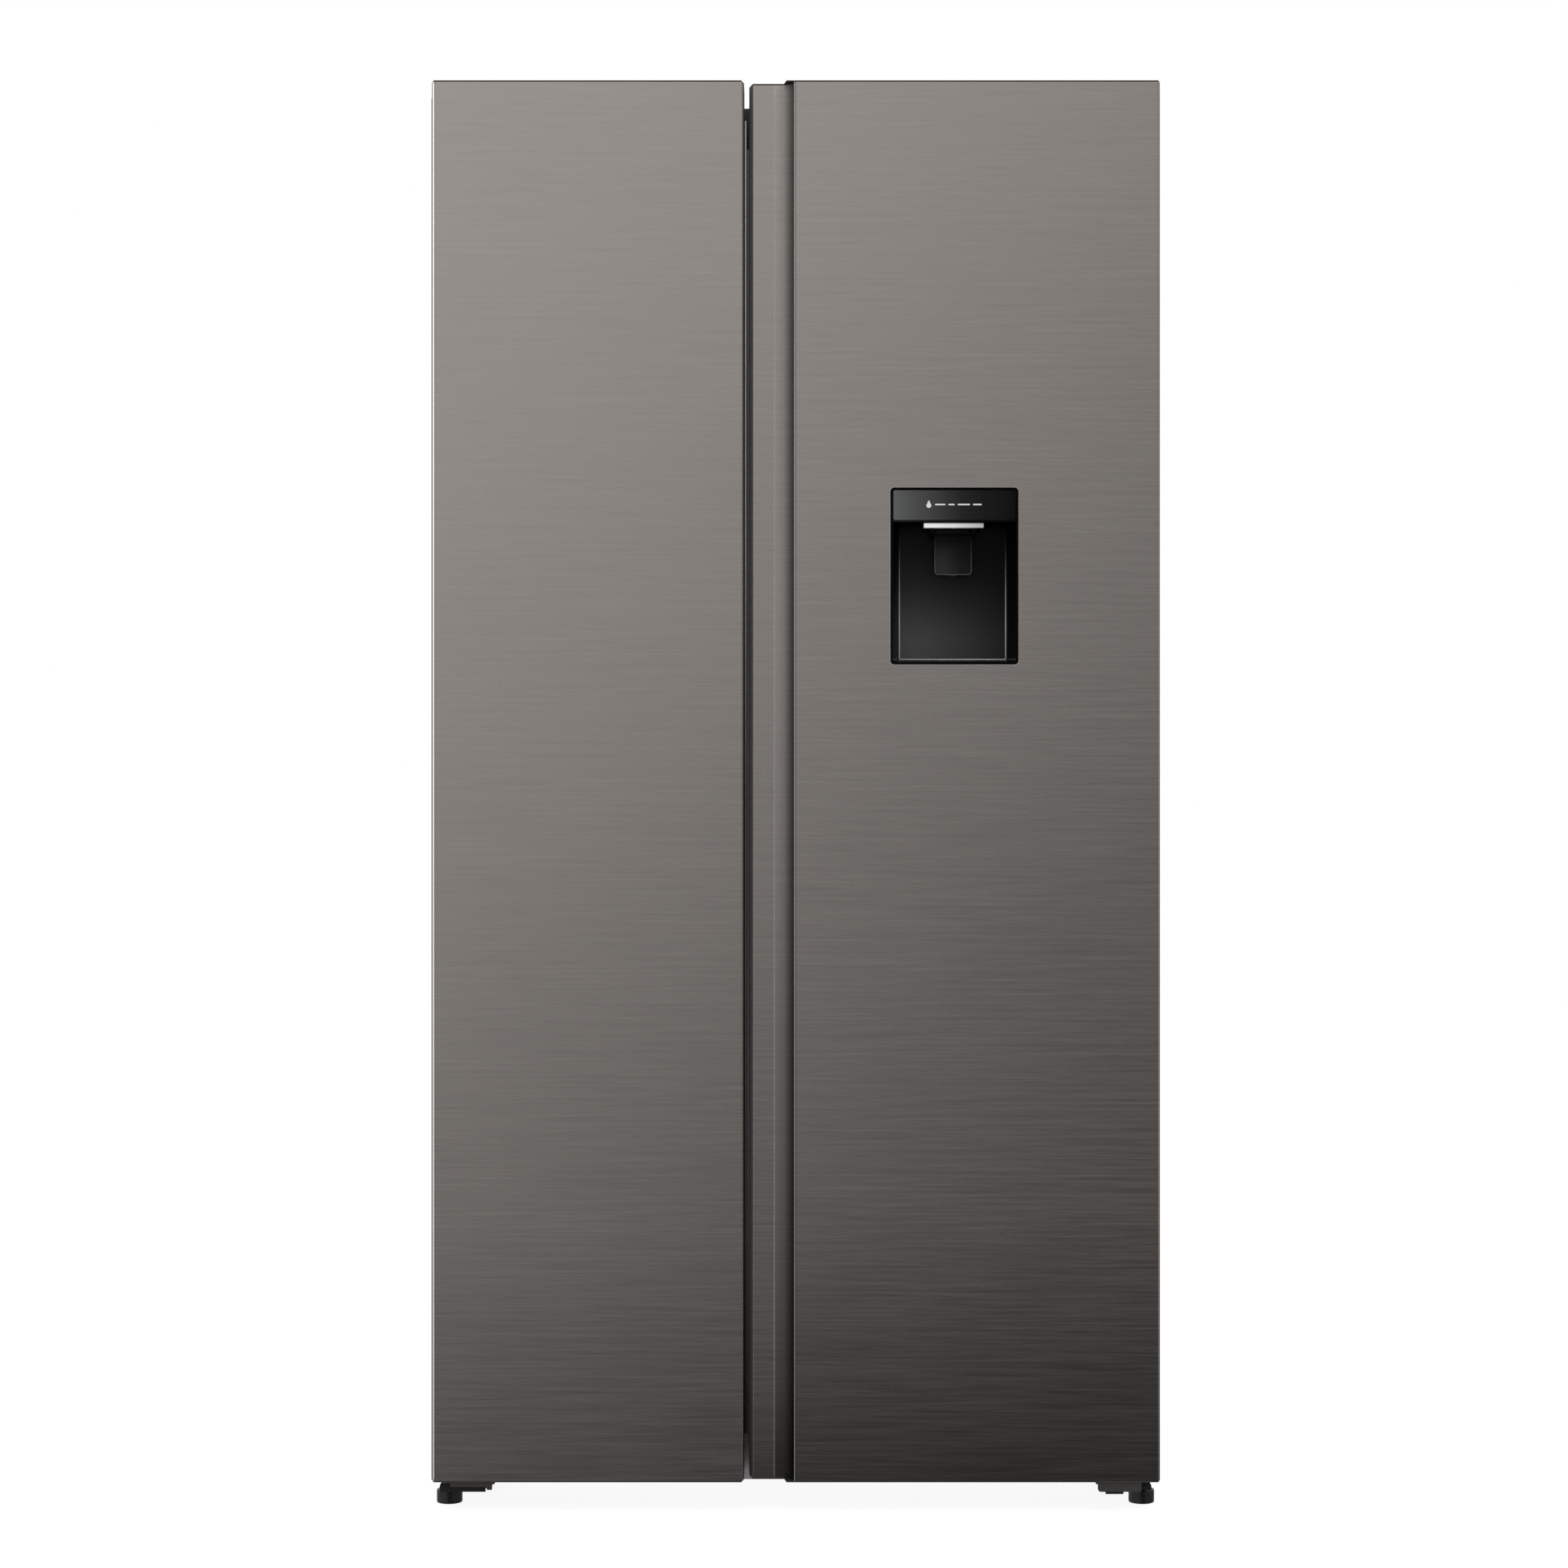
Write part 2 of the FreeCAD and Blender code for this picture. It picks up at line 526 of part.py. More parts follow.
bolts = []
for x, y in HINGE_HOLES:
    b = bolt(x, y, CAB_Z1 + 5, 1, 5.0)
    bolts += [b, mirror_x(b)]
for x, y in LOWER_HOLES:
    b = bolt(x, y, 24, -1, 6.0)
    bolts += [b, mirror_x(b)]
save("hinge_screws", *bolts)

# ---------------------------------------------------------- feet and rollers


def foot(sx):
    disc = cyl(FOOT_R, (sx * FOOT_X, FOOT_Y, 0), (0, 0, 1), 16.5)
    disc = disc.makeFillet(1.5, [e for e in disc.Edges if e.Curve.TypeId == "Part::GeomCircle"])
    nut = prism([(sx * FOOT_X + 8 * math.cos(math.radians(a)), FOOT_Y + 8 * math.sin(math.radians(a))) for a in range(0, 360, 60)],
                "Z", 16, 21.5)
    return fuse([disc, nut, cyl(5, (sx * FOOT_X, FOOT_Y, 15), (0, 0, 1), 18)])


save("foot_left", foot(-1))
save("foot_right", foot(1))


def roller(sx, y, z, r, w):
    x = sx * ROLLER_X
    s = cyl(r, (x - w / 2, y, z), (1, 0, 0), w)
    s = s.makeFillet(1.5, [e for e in s.Edges if e.Curve.TypeId == "Part::GeomCircle"])
    return cut(s, cyl(AXLE_R + PIN_CLEAR, (x - w, y, z), (1, 0, 0), 2 * w))


save("roller_front_left", roller(-1, FRONT_ROLLER_Y, FRONT_AXLE_Z, FRONT_ROLLER_R, ROLLER_W))
save("roller_front_right", roller(1, FRONT_ROLLER_Y, FRONT_AXLE_Z, FRONT_ROLLER_R, ROLLER_W))
save("roller_rear_left", roller(-1, REAR_ROLLER_Y, REAR_ROLLER_R, REAR_ROLLER_R, 22))
save("roller_rear_right", roller(1, REAR_ROLLER_Y, REAR_ROLLER_R, REAR_ROLLER_R, 22))
axles = []
for sx in (-1, 1):
    a, b = sorted((sx * 385.5, sx * 420.4))
    axles.append(cyl(AXLE_R, (a, FRONT_ROLLER_Y, FRONT_AXLE_Z), (1, 0, 0), b - a))
    a, b = sorted((sx * 387, sx * 420))
    axles.append(cyl(AXLE_R, (a, REAR_ROLLER_Y, REAR_ROLLER_R), (1, 0, 0), b - a))
save("roller_axles", *axles)


# -------------------------------------------------------------------- doors
def ring(x0, x1, z0, z1, i0, i1, k0, k1, y0, y1):
    return cut(box(x0, x1, y0, y1, z0, z1), box(i0, i1, y0 - 1, y1 + 1, k0, k1))


def door_liner(x0, x1, dike):
    """Moulded back of a door: flat rim for the gasket, raised dike ring."""
    plate = box(x0 + 15, x1 - 15, DOOR_BACK - 1.5, DOOR_BACK, DOOR_Z0 + 14, DOOR_Z1 - 14)
    wall = ring(dike[0], dike[1], DIKE_Z[0], DIKE_Z[1], dike[2], dike[3], DIKE_Z[2], DIKE_Z[3], DOOR_BACK - 1, DIKE_Y)
    wall = rounded(wall, "Y", 10, lambda m: m.x < dike[0] + 1 or m.x > dike[1] - 1)
    edges = [e for e in wall.Edges if abs(e.BoundBox.YMin - DIKE_Y) < 0.01 and abs(e.BoundBox.YMax - DIKE_Y) < 0.01]
    wall = wall.makeFillet(3.0, edges)
    hollow = ring(dike[0] + 2, dike[1] - 2, DIKE_Z[0] + 2, DIKE_Z[1] - 2, dike[2] - 2, dike[3] + 2, DIKE_Z[2] - 2, DIKE_Z[3] + 2,
                  DOOR_BACK - 1.5, DIKE_Y - 2)
    hollow = rounded(hollow, "Y", 8, lambda m: m.x < dike[0] + 3 or m.x > dike[1] - 3)
    return solid_of(cut(fuse([plate, wall]), hollow)), hollow


def dike_bars(hollow, dike):
    """The foam inside the dike, as two upright and two level bars."""
    a, b, z0, z1 = dike[2] - 2, dike[3] + 2, DIKE_Z[2] - 2, DIKE_Z[3] + 2
    far = 2000
    left = box(-far, a, -far, far, -far, far)
    right = box(b, far, -far, far, -far, far)
    low = box(a, b, -far, far, -far, z0)
    high = box(a, b, -far, far, z1, far)
    return [solid_of(hollow.common(k)) for k in (left, right, low, high)]


def gasket(x0, x1):
    """Magnetic gasket: ring of soft profile with a bellows groove each side."""
    z0, z1, w = 82.0, 1730.0, 14.0
    y0, y1 = DOOR_BACK, CAB_FRONT - 0.4
    s = ring(x0, x1, z0, z1, x0 + w, x1 - w, z0 + w, z1 - w, y0, y1)
    for d0 in (2.6, 5.6):
        g0, g1 = y0 + d0, y0 + d0 + 1.6
        s = cut(s, ring(x0 - 1, x1 + 1, z0 - 1, z1 + 1, x0 + 2.2, x1 - 2.2, z0 + 2.2, z1 - 2.2, g0, g1))
        s = cut(s, ring(x0 + w - 2.2, x1 - w + 2.2, z0 + w - 2.2, z1 - w + 2.2, x0 + w + 1, x1 - w - 1, z0 + w + 1, z1 - w - 1, g0, g1))
    return s


def door_bin(x0, x1, z, h=BIN_H):
    """Moulded bin between the dike walls, open at the top."""
    outer = rounded(box(x0, x1, DOOR_BACK, BIN_FRONT, z, z + h), "Z", 12, lambda m: m.y > BIN_FRONT - 1)
    inner = rounded(box(x0 + 2.5, x1 - 2.5, DOOR_BACK + 2.5, BIN_FRONT - 2.5, z + 3, z + h + 5), "Z", 9.5, lambda m: m.y > BIN_FRONT - 5)
    s = cut(outer, inner)
    # the back wall is lower than the front
    s = cut(s, box(x0 + 2.5, x1 - 2.5, DOOR_BACK - 1, DOOR_BACK + 2.6, z + 45, z + h + 1))
    return solid_of(s)


def hinge_pocket(sx):
    """Room for the hinge arm in the top hinge corner of a door."""
    a, b = sorted((sx * (HALF + 1), sx * (HINGE_X - 16)))
    return box(a, b, HINGE_Y - 27, DOOR_BACK + 1, CAB_Z1 - 2, DOOR_Z1 + 1)


def bore(sx, z0, z1):
    return cyl(PIN_R + PIN_CLEAR, (sx * HINGE_X, HINGE_Y, z0), (0, 0, 1), z1 - z0)


# freezer door
x0, x1 = FZ_DOOR
Z0, Z1 = DOOR_Z0 + CAP_LIP, DOOR_Z1 - CAP_LIP
def corners(x, sx, size, low=True, high=True):
    """Wedges that take the upper and lower corner off a door, seen from the front."""
    out = []
    for z, sz, use in ((DOOR_Z0, -1, low), (DOOR_Z1, 1, high)):
        if use:
            out.append(prism([(x + sx, z + sz), (x - sx * size - sx, z + sz), (x - sx * size, z), (x, z - sz * size), (x + sx, z - sz * size)],
                             "Y", DOOR_FRONT - 1, DOOR_BACK + 1))
    return out


def round_front(s, r_left, r_right, inset=0.0):
    """Round the two vertical front edges of a door shape."""
    mid = (s.BoundBox.XMin + s.BoundBox.XMax) / 2
    near = lambda m: m.y < DOOR_FRONT + inset + 0.1
    s = rounded(s, "Z", r_left - inset, lambda m: near(m) and m.x < mid)
    return rounded(s, "Z", r_right - inset, lambda m: near(m) and m.x > mid)


skin = round_front(box(x0, x1, DOOR_FRONT, DOOR_BACK, Z0, Z1), DOOR_R_LEFT, DOOR_R)
inner = round_front(box(x0 + SKIN, x1 - SKIN, DOOR_FRONT + SKIN, DOOR_BACK - SKIN, Z0 - 1, Z1 + 1), DOOR_R_LEFT, DOOR_R, SKIN)
fz_corners = corners(x0, -1, 3.4) + corners(x1, 1, 3.4)
skin = cut(skin, *fz_corners, inner, box(x0 + 15, x1 - 15, DOOR_BACK - 3, DOOR_BACK + 1, Z0 - 1, Z1 + 1), hinge_pocket(-1))
save("freezer_door_skin", solid_of(skin))

CAP_T = 12.8


def hinge_block(sx, upper):
    """Solid block around the hinge pin, in the hinge corner of an end cap."""
    a, b = sorted((sx * (HALF - SKIN), sx * (HINGE_X - 28)))
    z0, z1 = (CAB_Z1 - 28, Z1 - CAP_T) if upper else (Z0 + CAP_T, 62.0)
    s = box(a, b, DOOR_FRONT + SKIN, DOOR_BACK - 1.5, z0, z1)
    r = (DOOR_R_LEFT if sx < 0 else DOOR_R) - SKIN
    return rounded(s, "Z", r, lambda m: m.y < DOOR_FRONT + 3 and abs(m.x) > HINGE_X)


def end_cap(outline, inside, sx, upper, stop, wedges):
    """Moulded end cap: edge lip over the skin, plug inside it, hinge block;
    the lower one has a door stop under it."""
    block = hinge_block(sx, upper)
    if upper:
        lid = prism(outline, "Z", Z1, DOOR_Z1)
        plug = prism(inside, "Z", Z1 - CAP_T, Z1)
        s = fuse([lid, plug, block])
        return cut(s, hinge_pocket(sx), bore(sx, CAB_Z1 - 26, CAB_Z1), *wedges)
    lid = prism(outline, "Z", DOOR_Z0, Z0)
    plug = prism(inside, "Z", Z0, Z0 + CAP_T)
    return cut(fuse([lid, plug, block] + stop), bore(sx, DOOR_Z0 - 1, 56), *wedges)


def fz_outline(g, back):
    a, b, c, d = x0 + g, x1 - g, DOOR_FRONT + g, back
    r, q = DOOR_R_LEFT - g, DOOR_R - g
    k, j = r * (1 - math.sqrt(0.5)), q * (1 - math.sqrt(0.5))
    return [(a, d), (a, c + r), ("arc", (a + k, c + k), (a + r, c)), (b - q, c), ("arc", (b - j, c + j), (b, c + q)), (b, d)]


fz_stop = [rounded(box(-432, -379, -316, -303, 29.3, DOOR_Z0 + 0.5), "Y", 2.5, lambda m: m.z < 30),
           box(-385.9, -380, -314, -305, 25.1, 31)]
caps = [end_cap(fz_outline(0.2, DOOR_BACK), fz_outline(SKIN, DOOR_BACK - 1.5), -1, up, fz_stop, fz_corners) for up in (False, True)]
save("freezer_door_end_caps", *caps)

fz_door_liner, fz_hollow = door_liner(x0, x1, FZ_DIKE)
save("freezer_door_liner", solid_of(cut(fz_door_liner, hinge_pocket(-1))))
core = box(x0 + SKIN, x1 - SKIN, DOOR_FRONT + SKIN, DOOR_BACK - 1.5, Z0 + CAP_T, Z1 - CAP_T)
core = round_front(core, DOOR_R_LEFT, DOOR_R, SKIN)
core = cut(core, hinge_block(-1, False), hinge_block(-1, True))
save("freezer_door_foam", solid_of(core), *dike_bars(fz_hollow, FZ_DIKE))
save("freezer_door_gasket", gasket(-431.0, -76.5))
save("freezer_door_bins", *[door_bin(FZ_DIKE[2] + 0.2, FZ_DIKE[3] - 0.2, z) for z in FZ_BIN_Z])

# fridge door: skin ends in a folded edge beside the grip channel
x0, x1 = FR_DOOR
EDGE = GRIP_END_X + SKIN               # -1.3
skin = box(EDGE, x1, DOOR_FRONT, DOOR_BACK, Z0, Z1)
skin = rounded(skin, "Z", DOOR_R, lambda m: m.y < DOOR_FRONT + 1 and m.x > 0)
skin = rounded(skin, "Z", 0.8, lambda m: m.y < DOOR_FRONT + 1 and m.x < 0)
inner = rounded(box(EDGE + SKIN, x1 - SKIN, DOOR_FRONT + SKIN, DOOR_BACK - SKIN, Z0 - 1, Z1 + 1), "Z", 1.8, lambda m: m.y < DOOR_FRONT + 3 and m.x > 5)
dsp_hole = rounded(box(DSP[0] + 0.8, DSP[1] - 0.8, DOOR_FRONT - 1, DOOR_FRONT + 3, DSP[2] + 0.8, DSP[3] - 0.8), "Y", 4.2)
fr_corners = corners(x1, 1, 2.6) + corners(x0, -1, 4.5)
skin = cut(skin, *fr_corners, inner, box(EDGE - 1, x1 - 15, DOOR_BACK - 3, DOOR_BACK + 1, Z0 - 1, Z1 + 1),
           box(EDGE - 1, EDGE + SKIN + 0.1, -316.5, DOOR_BACK + 1, Z0 - 1, Z1 + 1), hinge_pocket(1), dsp_hole)
save("fridge_door_skin", solid_of(skin))

c45 = math.sqrt(0.5)
gy = GRIP_FLOOR_Y - GRIP_R             # arc centre Y
r_in = GRIP_R + SKIN
gr, gi = DOOR_R_LEFT, DOOR_R_LEFT - SKIN
grip = prism([
    (x0 + 15, DOOR_BACK), (x0, DOOR_BACK), (x0, GRIP_FLOOR_Y + gr),
    ("arc", (x0 + gr * (1 - c45), GRIP_FLOOR_Y + gr * (1 - c45)), (x0 + gr, GRIP_FLOOR_Y)),
    (GRIP_ARC_X, GRIP_FLOOR_Y),
    ("arc", (GRIP_ARC_X + GRIP_R * c45, gy + GRIP_R * c45), (GRIP_END_X, gy)),
    (GRIP_END_X, DOOR_FRONT + 0.6), (EDGE, DOOR_FRONT + 0.6), (EDGE, gy),
    ("arc", (GRIP_ARC_X + r_in * c45, gy + r_in * c45), (GRIP_ARC_X, gy + r_in)),
    (x0 + gr, gy + r_in), ("arc", (x0 + gr - gi * c45, gy + r_in + gi - gi * c45), (x0 + SKIN, gy + r_in + gi)),
    (x0 + SKIN, DOOR_BACK - SKIN), (x0 + 15, DOOR_BACK - SKIN)], "Z", Z0, Z1)
save("grip_channel", solid_of(cut(grip, *fr_corners)))


def fr_outline(inside):
    if not inside:
        # the lip covers the upper and lower end of the grip with a short slope
        g, r = 0.2, DOOR_R - 0.2
        k, q = r * (1 - c45), DOOR_R_LEFT - 0.2
        a, b, c, d = x0 + g, x1 - g, DOOR_FRONT + g, DOOR_BACK
        return [(a, d), (a, GRIP_FLOOR_Y + g + q), ("arc", (a + q * (1 - c45), GRIP_FLOOR_Y + g + q * (1 - c45)), (a + q, GRIP_FLOOR_Y + g)),
                (-14.6, GRIP_FLOOR_Y + g), (-11.4, c), (b - r, c), ("arc", (b - k, c + k), (b, c + r)), (b, d)]
    r = DOOR_R - SKIN
    k = r * (1 - c45)
    a, b, c, d = x0 + SKIN, x1 - SKIN, DOOR_FRONT + SKIN, DOOR_BACK - 1.5
    return [(a, d), (a, gy + r_in + gi), ("arc", (a + gi * (1 - c45), gy + r_in + gi * (1 - c45)), (a + gi, gy + r_in)), (GRIP_ARC_X, gy + r_in),
            ("arc", (GRIP_ARC_X + r_in * c45, gy + r_in * c45), (EDGE, gy)),
            (EDGE + SKIN, gy), (EDGE + SKIN, c), (b - r, c), ("arc", (b - k, c + k), (b, c + r)), (b, d)]


fr_stop = [rounded(box(378, 432, -318, -311, 23.6, DOOR_Z0 + 0.5), "Y", 3, lambda m: m.z < 24)]
caps = [end_cap(fr_outline(False), fr_outline(True), 1, up, fr_stop, fr_corners) for up in (False, True)]
save("fridge_door_end_caps", *caps)

# dispenser: housing with a proud rim, tapered alcove, pocket for the panel
hs = fuse([
    rounded(box(DSP[0], DSP[1], FRONT, DOOR_FRONT, DSP[2], DSP[3]), "Y", 5.0),
    rounded(box(DSP[0] + 1, DSP[1] - 1, DOOR_FRONT - 0.5, DSP_BACK_Y + 3, DSP[2] + 1, DSP[3] - 1), "Y", 4.0),
])


def rect(r, y):
    return Part.makePolygon([V(r[0], y, r[2]), V(r[1], y, r[2]), V(r[1], y, r[3]), V(r[0], y, r[3]), V(r[0], y, r[2])])


t = (DSP_BACK_Y - FRONT)
e = 2.0                                # run the taper past the front face
ex = [DSP_OPEN[i] + (DSP_OPEN[i] - DSP_BACK[i]) * e / t for i in range(4)]
alcove = Part.makeLoft([rect(ex, FRONT - e), rect(DSP_BACK, DSP_BACK_Y)], True, True)
pocket = box(DSP_OPEN[0] + 0.3, DSP_OPEN[1] - 0.3, FRONT - 1, -290, 1237.0, 1274.6)
hs = cut(hs, alcove, pocket)
LUG_Y, LUG_Z = -298.0, 1221.5
for sx in (-1, 1):
    a, b = sorted((DSP_CX + sx * (PADDLE_W / 2 + 0.5), DSP_CX + sx * (PADDLE_W / 2 + 5.5)))
    lug = fuse([box(a, b, LUG_Y - 5, LUG_Y + 5, LUG_Z, 1235.2), cyl(5, (a, LUG_Y, LUG_Z), (1, 0, 0), b - a)])
    hs = fuse([hs, lug])
hs = cut(hs, cyl(2 + PIN_CLEAR, (DSP_CX - 40, LUG_Y, LUG_Z), (1, 0, 0), 80),
         cyl(6, (DSP_CX, -285, 1234), (0, 0, 1), 60),
         box(DSP_CX - 6, DSP_CX + 6, -292, -285, 1234, 1238))
save("dispenser_housing", solid_of(hs))

panel = rounded(box(DSP_OPEN[0] + 0.5, DSP_OPEN[1] - 0.5, FRONT + 0.2, FRONT + 3.2, 1237.3, 1274.3), "Y", 2.0)
panel = fuse([panel, box(DSP_OPEN[0] + 6, DSP_OPEN[1] - 6, FRONT + 3, FRONT + 12, 1241, 1270)])
save("dispenser_panel", panel)

# nozzle: white bar under the panel, outlet bore, feed tube to the tank
bar = rounded(box(DSP_CX - 37.2, DSP_CX + 37.2, -318.0, -304.0, 1228.0, 1233.8), "X", 1.0)
nozzle = fuse([bar, box(DSP_CX - 20, DSP_CX + 20, -304.5, -279, 1229.5, 1234.3),
               cyl(6, (DSP_CX, -285, 1233), (0, 0, 1), 53),
               cyl(6, (DSP_CX, -285, 1286), (0, 1, 0), 45),
               cyl(6, (DSP_CX, -240, 1286), (0, 0, 1), TANK[4] - 1286)])
nozzle = cut(nozzle, cyl(3.5, (DSP_CX, -311, 1220), (0, 0, 1), 10))
save("dispenser_nozzle", solid_of(nozzle))

paddle = fuse([
    rounded(box(DSP_CX - PADDLE_W / 2, DSP_CX + PADDLE_W / 2, PADDLE_Y, PADDLE_Y + 3.5, PADDLE_Z0, 1222), "Y", 4.5, lambda m: m.z < PADDLE_Z0 + 1),
    cyl(4, (DSP_CX - PADDLE_W / 2, LUG_Y, LUG_Z), (1, 0, 0), PADDLE_W),
    cyl(2, (DSP_CX - PADDLE_W / 2 - 5, LUG_Y, LUG_Z), (1, 0, 0), PADDLE_W + 10)])
save("dispenser_paddle", paddle)

# leaf spring that returns the paddle, screwed to the back plate of the alcove
leaf = prism([(DSP_BACK_Y, 1170), (DSP_BACK_Y - 1, 1170), (DSP_BACK_Y - 1, 1184), (PADDLE_Y + 6, 1200), (PADDLE_Y + 4.0, 1204),
              (PADDLE_Y + 5.5, 1209), (PADDLE_Y + 6.3, 1208.6), (PADDLE_Y + 4.9, 1204), (PADDLE_Y + 6.8, 1200.6), (DSP_BACK_Y, 1184.4)],
             "X", DSP_CX - 6, DSP_CX + 6)
save("paddle_spring", leaf)

# water tank on the inside of the door, with a hinged filling lid
tk = rounded(box(*TANK), "Z", 14, lambda m: m.y > TANK[3] - 1)
ti = rounded(box(TANK[0] + 2.5, TANK[1] - 2.5, TANK[2] + 2.5, TANK[3] - 2.5, TANK[4] + 2.5, TANK[5] - 2.5), "Z", 11.5, lambda m: m.y > TANK[3] - 5)
FILL = (140.0, 260.0, -218.0, -176.0)
tk = cut(tk, ti, box(FILL[0], FILL[1], FILL[2], FILL[3], TANK[5] - 4, TANK[5] + 1),
         cyl(3.5, (DSP_CX, -240, TANK[4] - 1), (0, 0, 1), 5))
LID_Y, LID_Z = -224.0, TANK[5] + 3.5
for xa in (146.0, 249.0):
    lugs = fuse([box(xa, xa + 5, LID_Y - 3, LID_Y + 3, TANK[5] - 0.5, LID_Z), cyl(3, (xa, LID_Y, LID_Z), (1, 0, 0), 5)])
    tk = fuse([tk, lugs])
tk = cut(tk, cyl(1.8 + PIN_CLEAR, (145, LID_Y, LID_Z), (1, 0, 0), 110))
save("water_tank", solid_of(tk))

lid = fuse([
    rounded(box(FILL[0] - 4, FILL[1] + 4, LID_Y + 4.5, FILL[3] + 8, TANK[5] + 0.4, TANK[5] + 3.4), "Z", 5, lambda m: m.y > FILL[3]),
    box(152, 248, LID_Y - 1.8, LID_Y + 5, LID_Z - 1.8, LID_Z + 1.8),
    cyl(1.8, (147, LID_Y, LID_Z), (1, 0, 0), 106)])
save("tank_lid", lid)

# fridge door liner and foam, opened for the dispenser and the feed tube
tube_room = fuse([cyl(6, (DSP_CX, -285, 1233), (0, 0, 1), 53), cyl(6, (DSP_CX, -285, 1286), (0, 1, 0), 45),
                  cyl(6, (DSP_CX, -285, 1280), (0, 0, 1), 12)])
fr_door_liner, fr_hollow = door_liner(x0, x1, FR_DIKE)
fr_door_liner = cut(fr_door_liner, cyl(6, (DSP_CX, -300, 1286), (0, 1, 0), 60), hinge_pocket(1))
save("fridge_door_liner", solid_of(fr_door_liner))
core = prism(fr_outline(True), "Z", Z0 + CAP_T, Z1 - CAP_T)
dsp_body = box(DSP[0] + 1, DSP[1] - 1, DOOR_FRONT - 0.5, DSP_BACK_Y + 3, DSP[2] + 1, DSP[3] - 1)
core = cut(core, hinge_block(1, False), hinge_block(1, True), dsp_body, tube_room)
# the foam stands below, above, beside and behind the dispenser housing
da, db, dz0, dz1, far = DSP[0] + 1, DSP[1] - 1, DSP[2] + 1, DSP[3] - 1, 2000
fields = [box(-far, far, -far, far, -far, dz0), box(-far, far, -far, far, dz1, far), box(-far, da, -far, far, dz0, dz1),
          box(db, far, -far, far, dz0, dz1), box(da, db, -far, far, dz0, dz1)]
save("fridge_door_foam", *[solid_of(core.common(k)) for k in fields], *[cut(bar, tube_room) for bar in dike_bars(fr_hollow, FR_DIKE)])
save("fridge_door_gasket", gasket(-46.2, 431.0))
save("fridge_door_bins", *[door_bin(FR_DIKE[2] + 0.2, FR_DIKE[3] - 0.2, z) for z in FR_BIN_Z])
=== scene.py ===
import json
import math

import bmesh
import bpy
from mathutils import Matrix, Vector


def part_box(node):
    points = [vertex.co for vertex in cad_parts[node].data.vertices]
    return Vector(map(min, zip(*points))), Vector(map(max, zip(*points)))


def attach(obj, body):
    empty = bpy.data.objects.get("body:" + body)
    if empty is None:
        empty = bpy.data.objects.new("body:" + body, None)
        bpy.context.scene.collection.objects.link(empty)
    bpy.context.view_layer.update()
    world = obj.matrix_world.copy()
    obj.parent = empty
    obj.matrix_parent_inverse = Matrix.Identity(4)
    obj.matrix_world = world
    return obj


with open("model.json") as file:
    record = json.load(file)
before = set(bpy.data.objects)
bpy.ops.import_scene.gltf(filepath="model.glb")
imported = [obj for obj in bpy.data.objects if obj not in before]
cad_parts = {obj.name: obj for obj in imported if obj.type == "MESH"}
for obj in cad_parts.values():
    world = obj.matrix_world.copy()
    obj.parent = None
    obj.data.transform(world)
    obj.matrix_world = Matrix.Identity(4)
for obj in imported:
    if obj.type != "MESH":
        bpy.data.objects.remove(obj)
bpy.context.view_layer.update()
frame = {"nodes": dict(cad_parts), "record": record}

N = frame["nodes"]
scene = bpy.context.scene
scene.view_settings.view_transform = "Standard"
scene.view_settings.look = "None"


# ------------------------------------------------------------------ materials
def new_mat(name):
    m = bpy.data.materials.new(name)
    m.use_nodes = True
    nt = m.node_tree
    for n in list(nt.nodes):
        nt.nodes.remove(n)
    out = nt.nodes.new("ShaderNodeOutputMaterial")
    b = nt.nodes.new("ShaderNodeBsdfPrincipled")
    nt.links.new(b.outputs["BSDF"], out.inputs["Surface"])
    return m, nt, b


def coords(nt, scale, rot=(0, 0, 0)):
    """Object coordinates in metres, stretched by scale."""
    tc = nt.nodes.new("ShaderNodeTexCoord")
    mp = nt.nodes.new("ShaderNodeMapping")
    mp.inputs["Scale"].default_value = scale
    mp.inputs["Rotation"].default_value = rot
    nt.links.new(tc.outputs["Object"], mp.inputs["Vector"])
    return mp.outputs["Vector"]


def noise(nt, vec, scale=1.0, detail=2.0, rough=0.5):
    n = nt.nodes.new("ShaderNodeTexNoise")
    n.inputs["Scale"].default_value = scale
    n.inputs["Detail"].default_value = detail
    n.inputs["Roughness"].default_value = rough
    nt.links.new(vec, n.inputs["Vector"])
    return n.outputs["Fac"]


def ramp(nt, fac, stops):
    r = nt.nodes.new("ShaderNodeValToRGB")
    els = r.color_ramp.elements
    els[0].position, els[0].color = stops[0][0], stops[0][1]
    els[1].position, els[1].color = stops[-1][0], stops[-1][1]
    for p, c in stops[1:-1]:
        e = els.new(p)
        e.color = c
    nt.links.new(fac, r.inputs["Fac"])
    return r.outputs["Color"]


def span(nt, fac, a, b, c, d, smooth=False):
    r = nt.nodes.new("ShaderNodeMapRange")
    r.inputs["From Min"].default_value, r.inputs["From Max"].default_value = a, b
    r.inputs["To Min"].default_value, r.inputs["To Max"].default_value = c, d
    if smooth:
        r.interpolation_type = "SMOOTHSTEP"
    nt.links.new(fac, r.inputs["Value"])
    return r.outputs["Result"]


def math_node(nt, op, a, b=None):
    n = nt.nodes.new("ShaderNodeMath")
    n.operation = op
    for i, v in enumerate((a, b)):
        if v is None:
            continue
        if isinstance(v, (int, float)):
            n.inputs[i].default_value = v
        else:
            nt.links.new(v, n.inputs[i])
    return n.outputs[0]


def bump(nt, b, height, strength, distance):
    n = nt.nodes.new("ShaderNodeBump")
    n.inputs["Strength"].default_value = strength
    n.inputs["Distance"].default_value = distance
    nt.links.new(height, n.inputs["Height"])
    nt.links.new(n.outputs["Normal"], b.inputs["Normal"])


def grey(v, a=1.0):
    return (v, v, v, a)


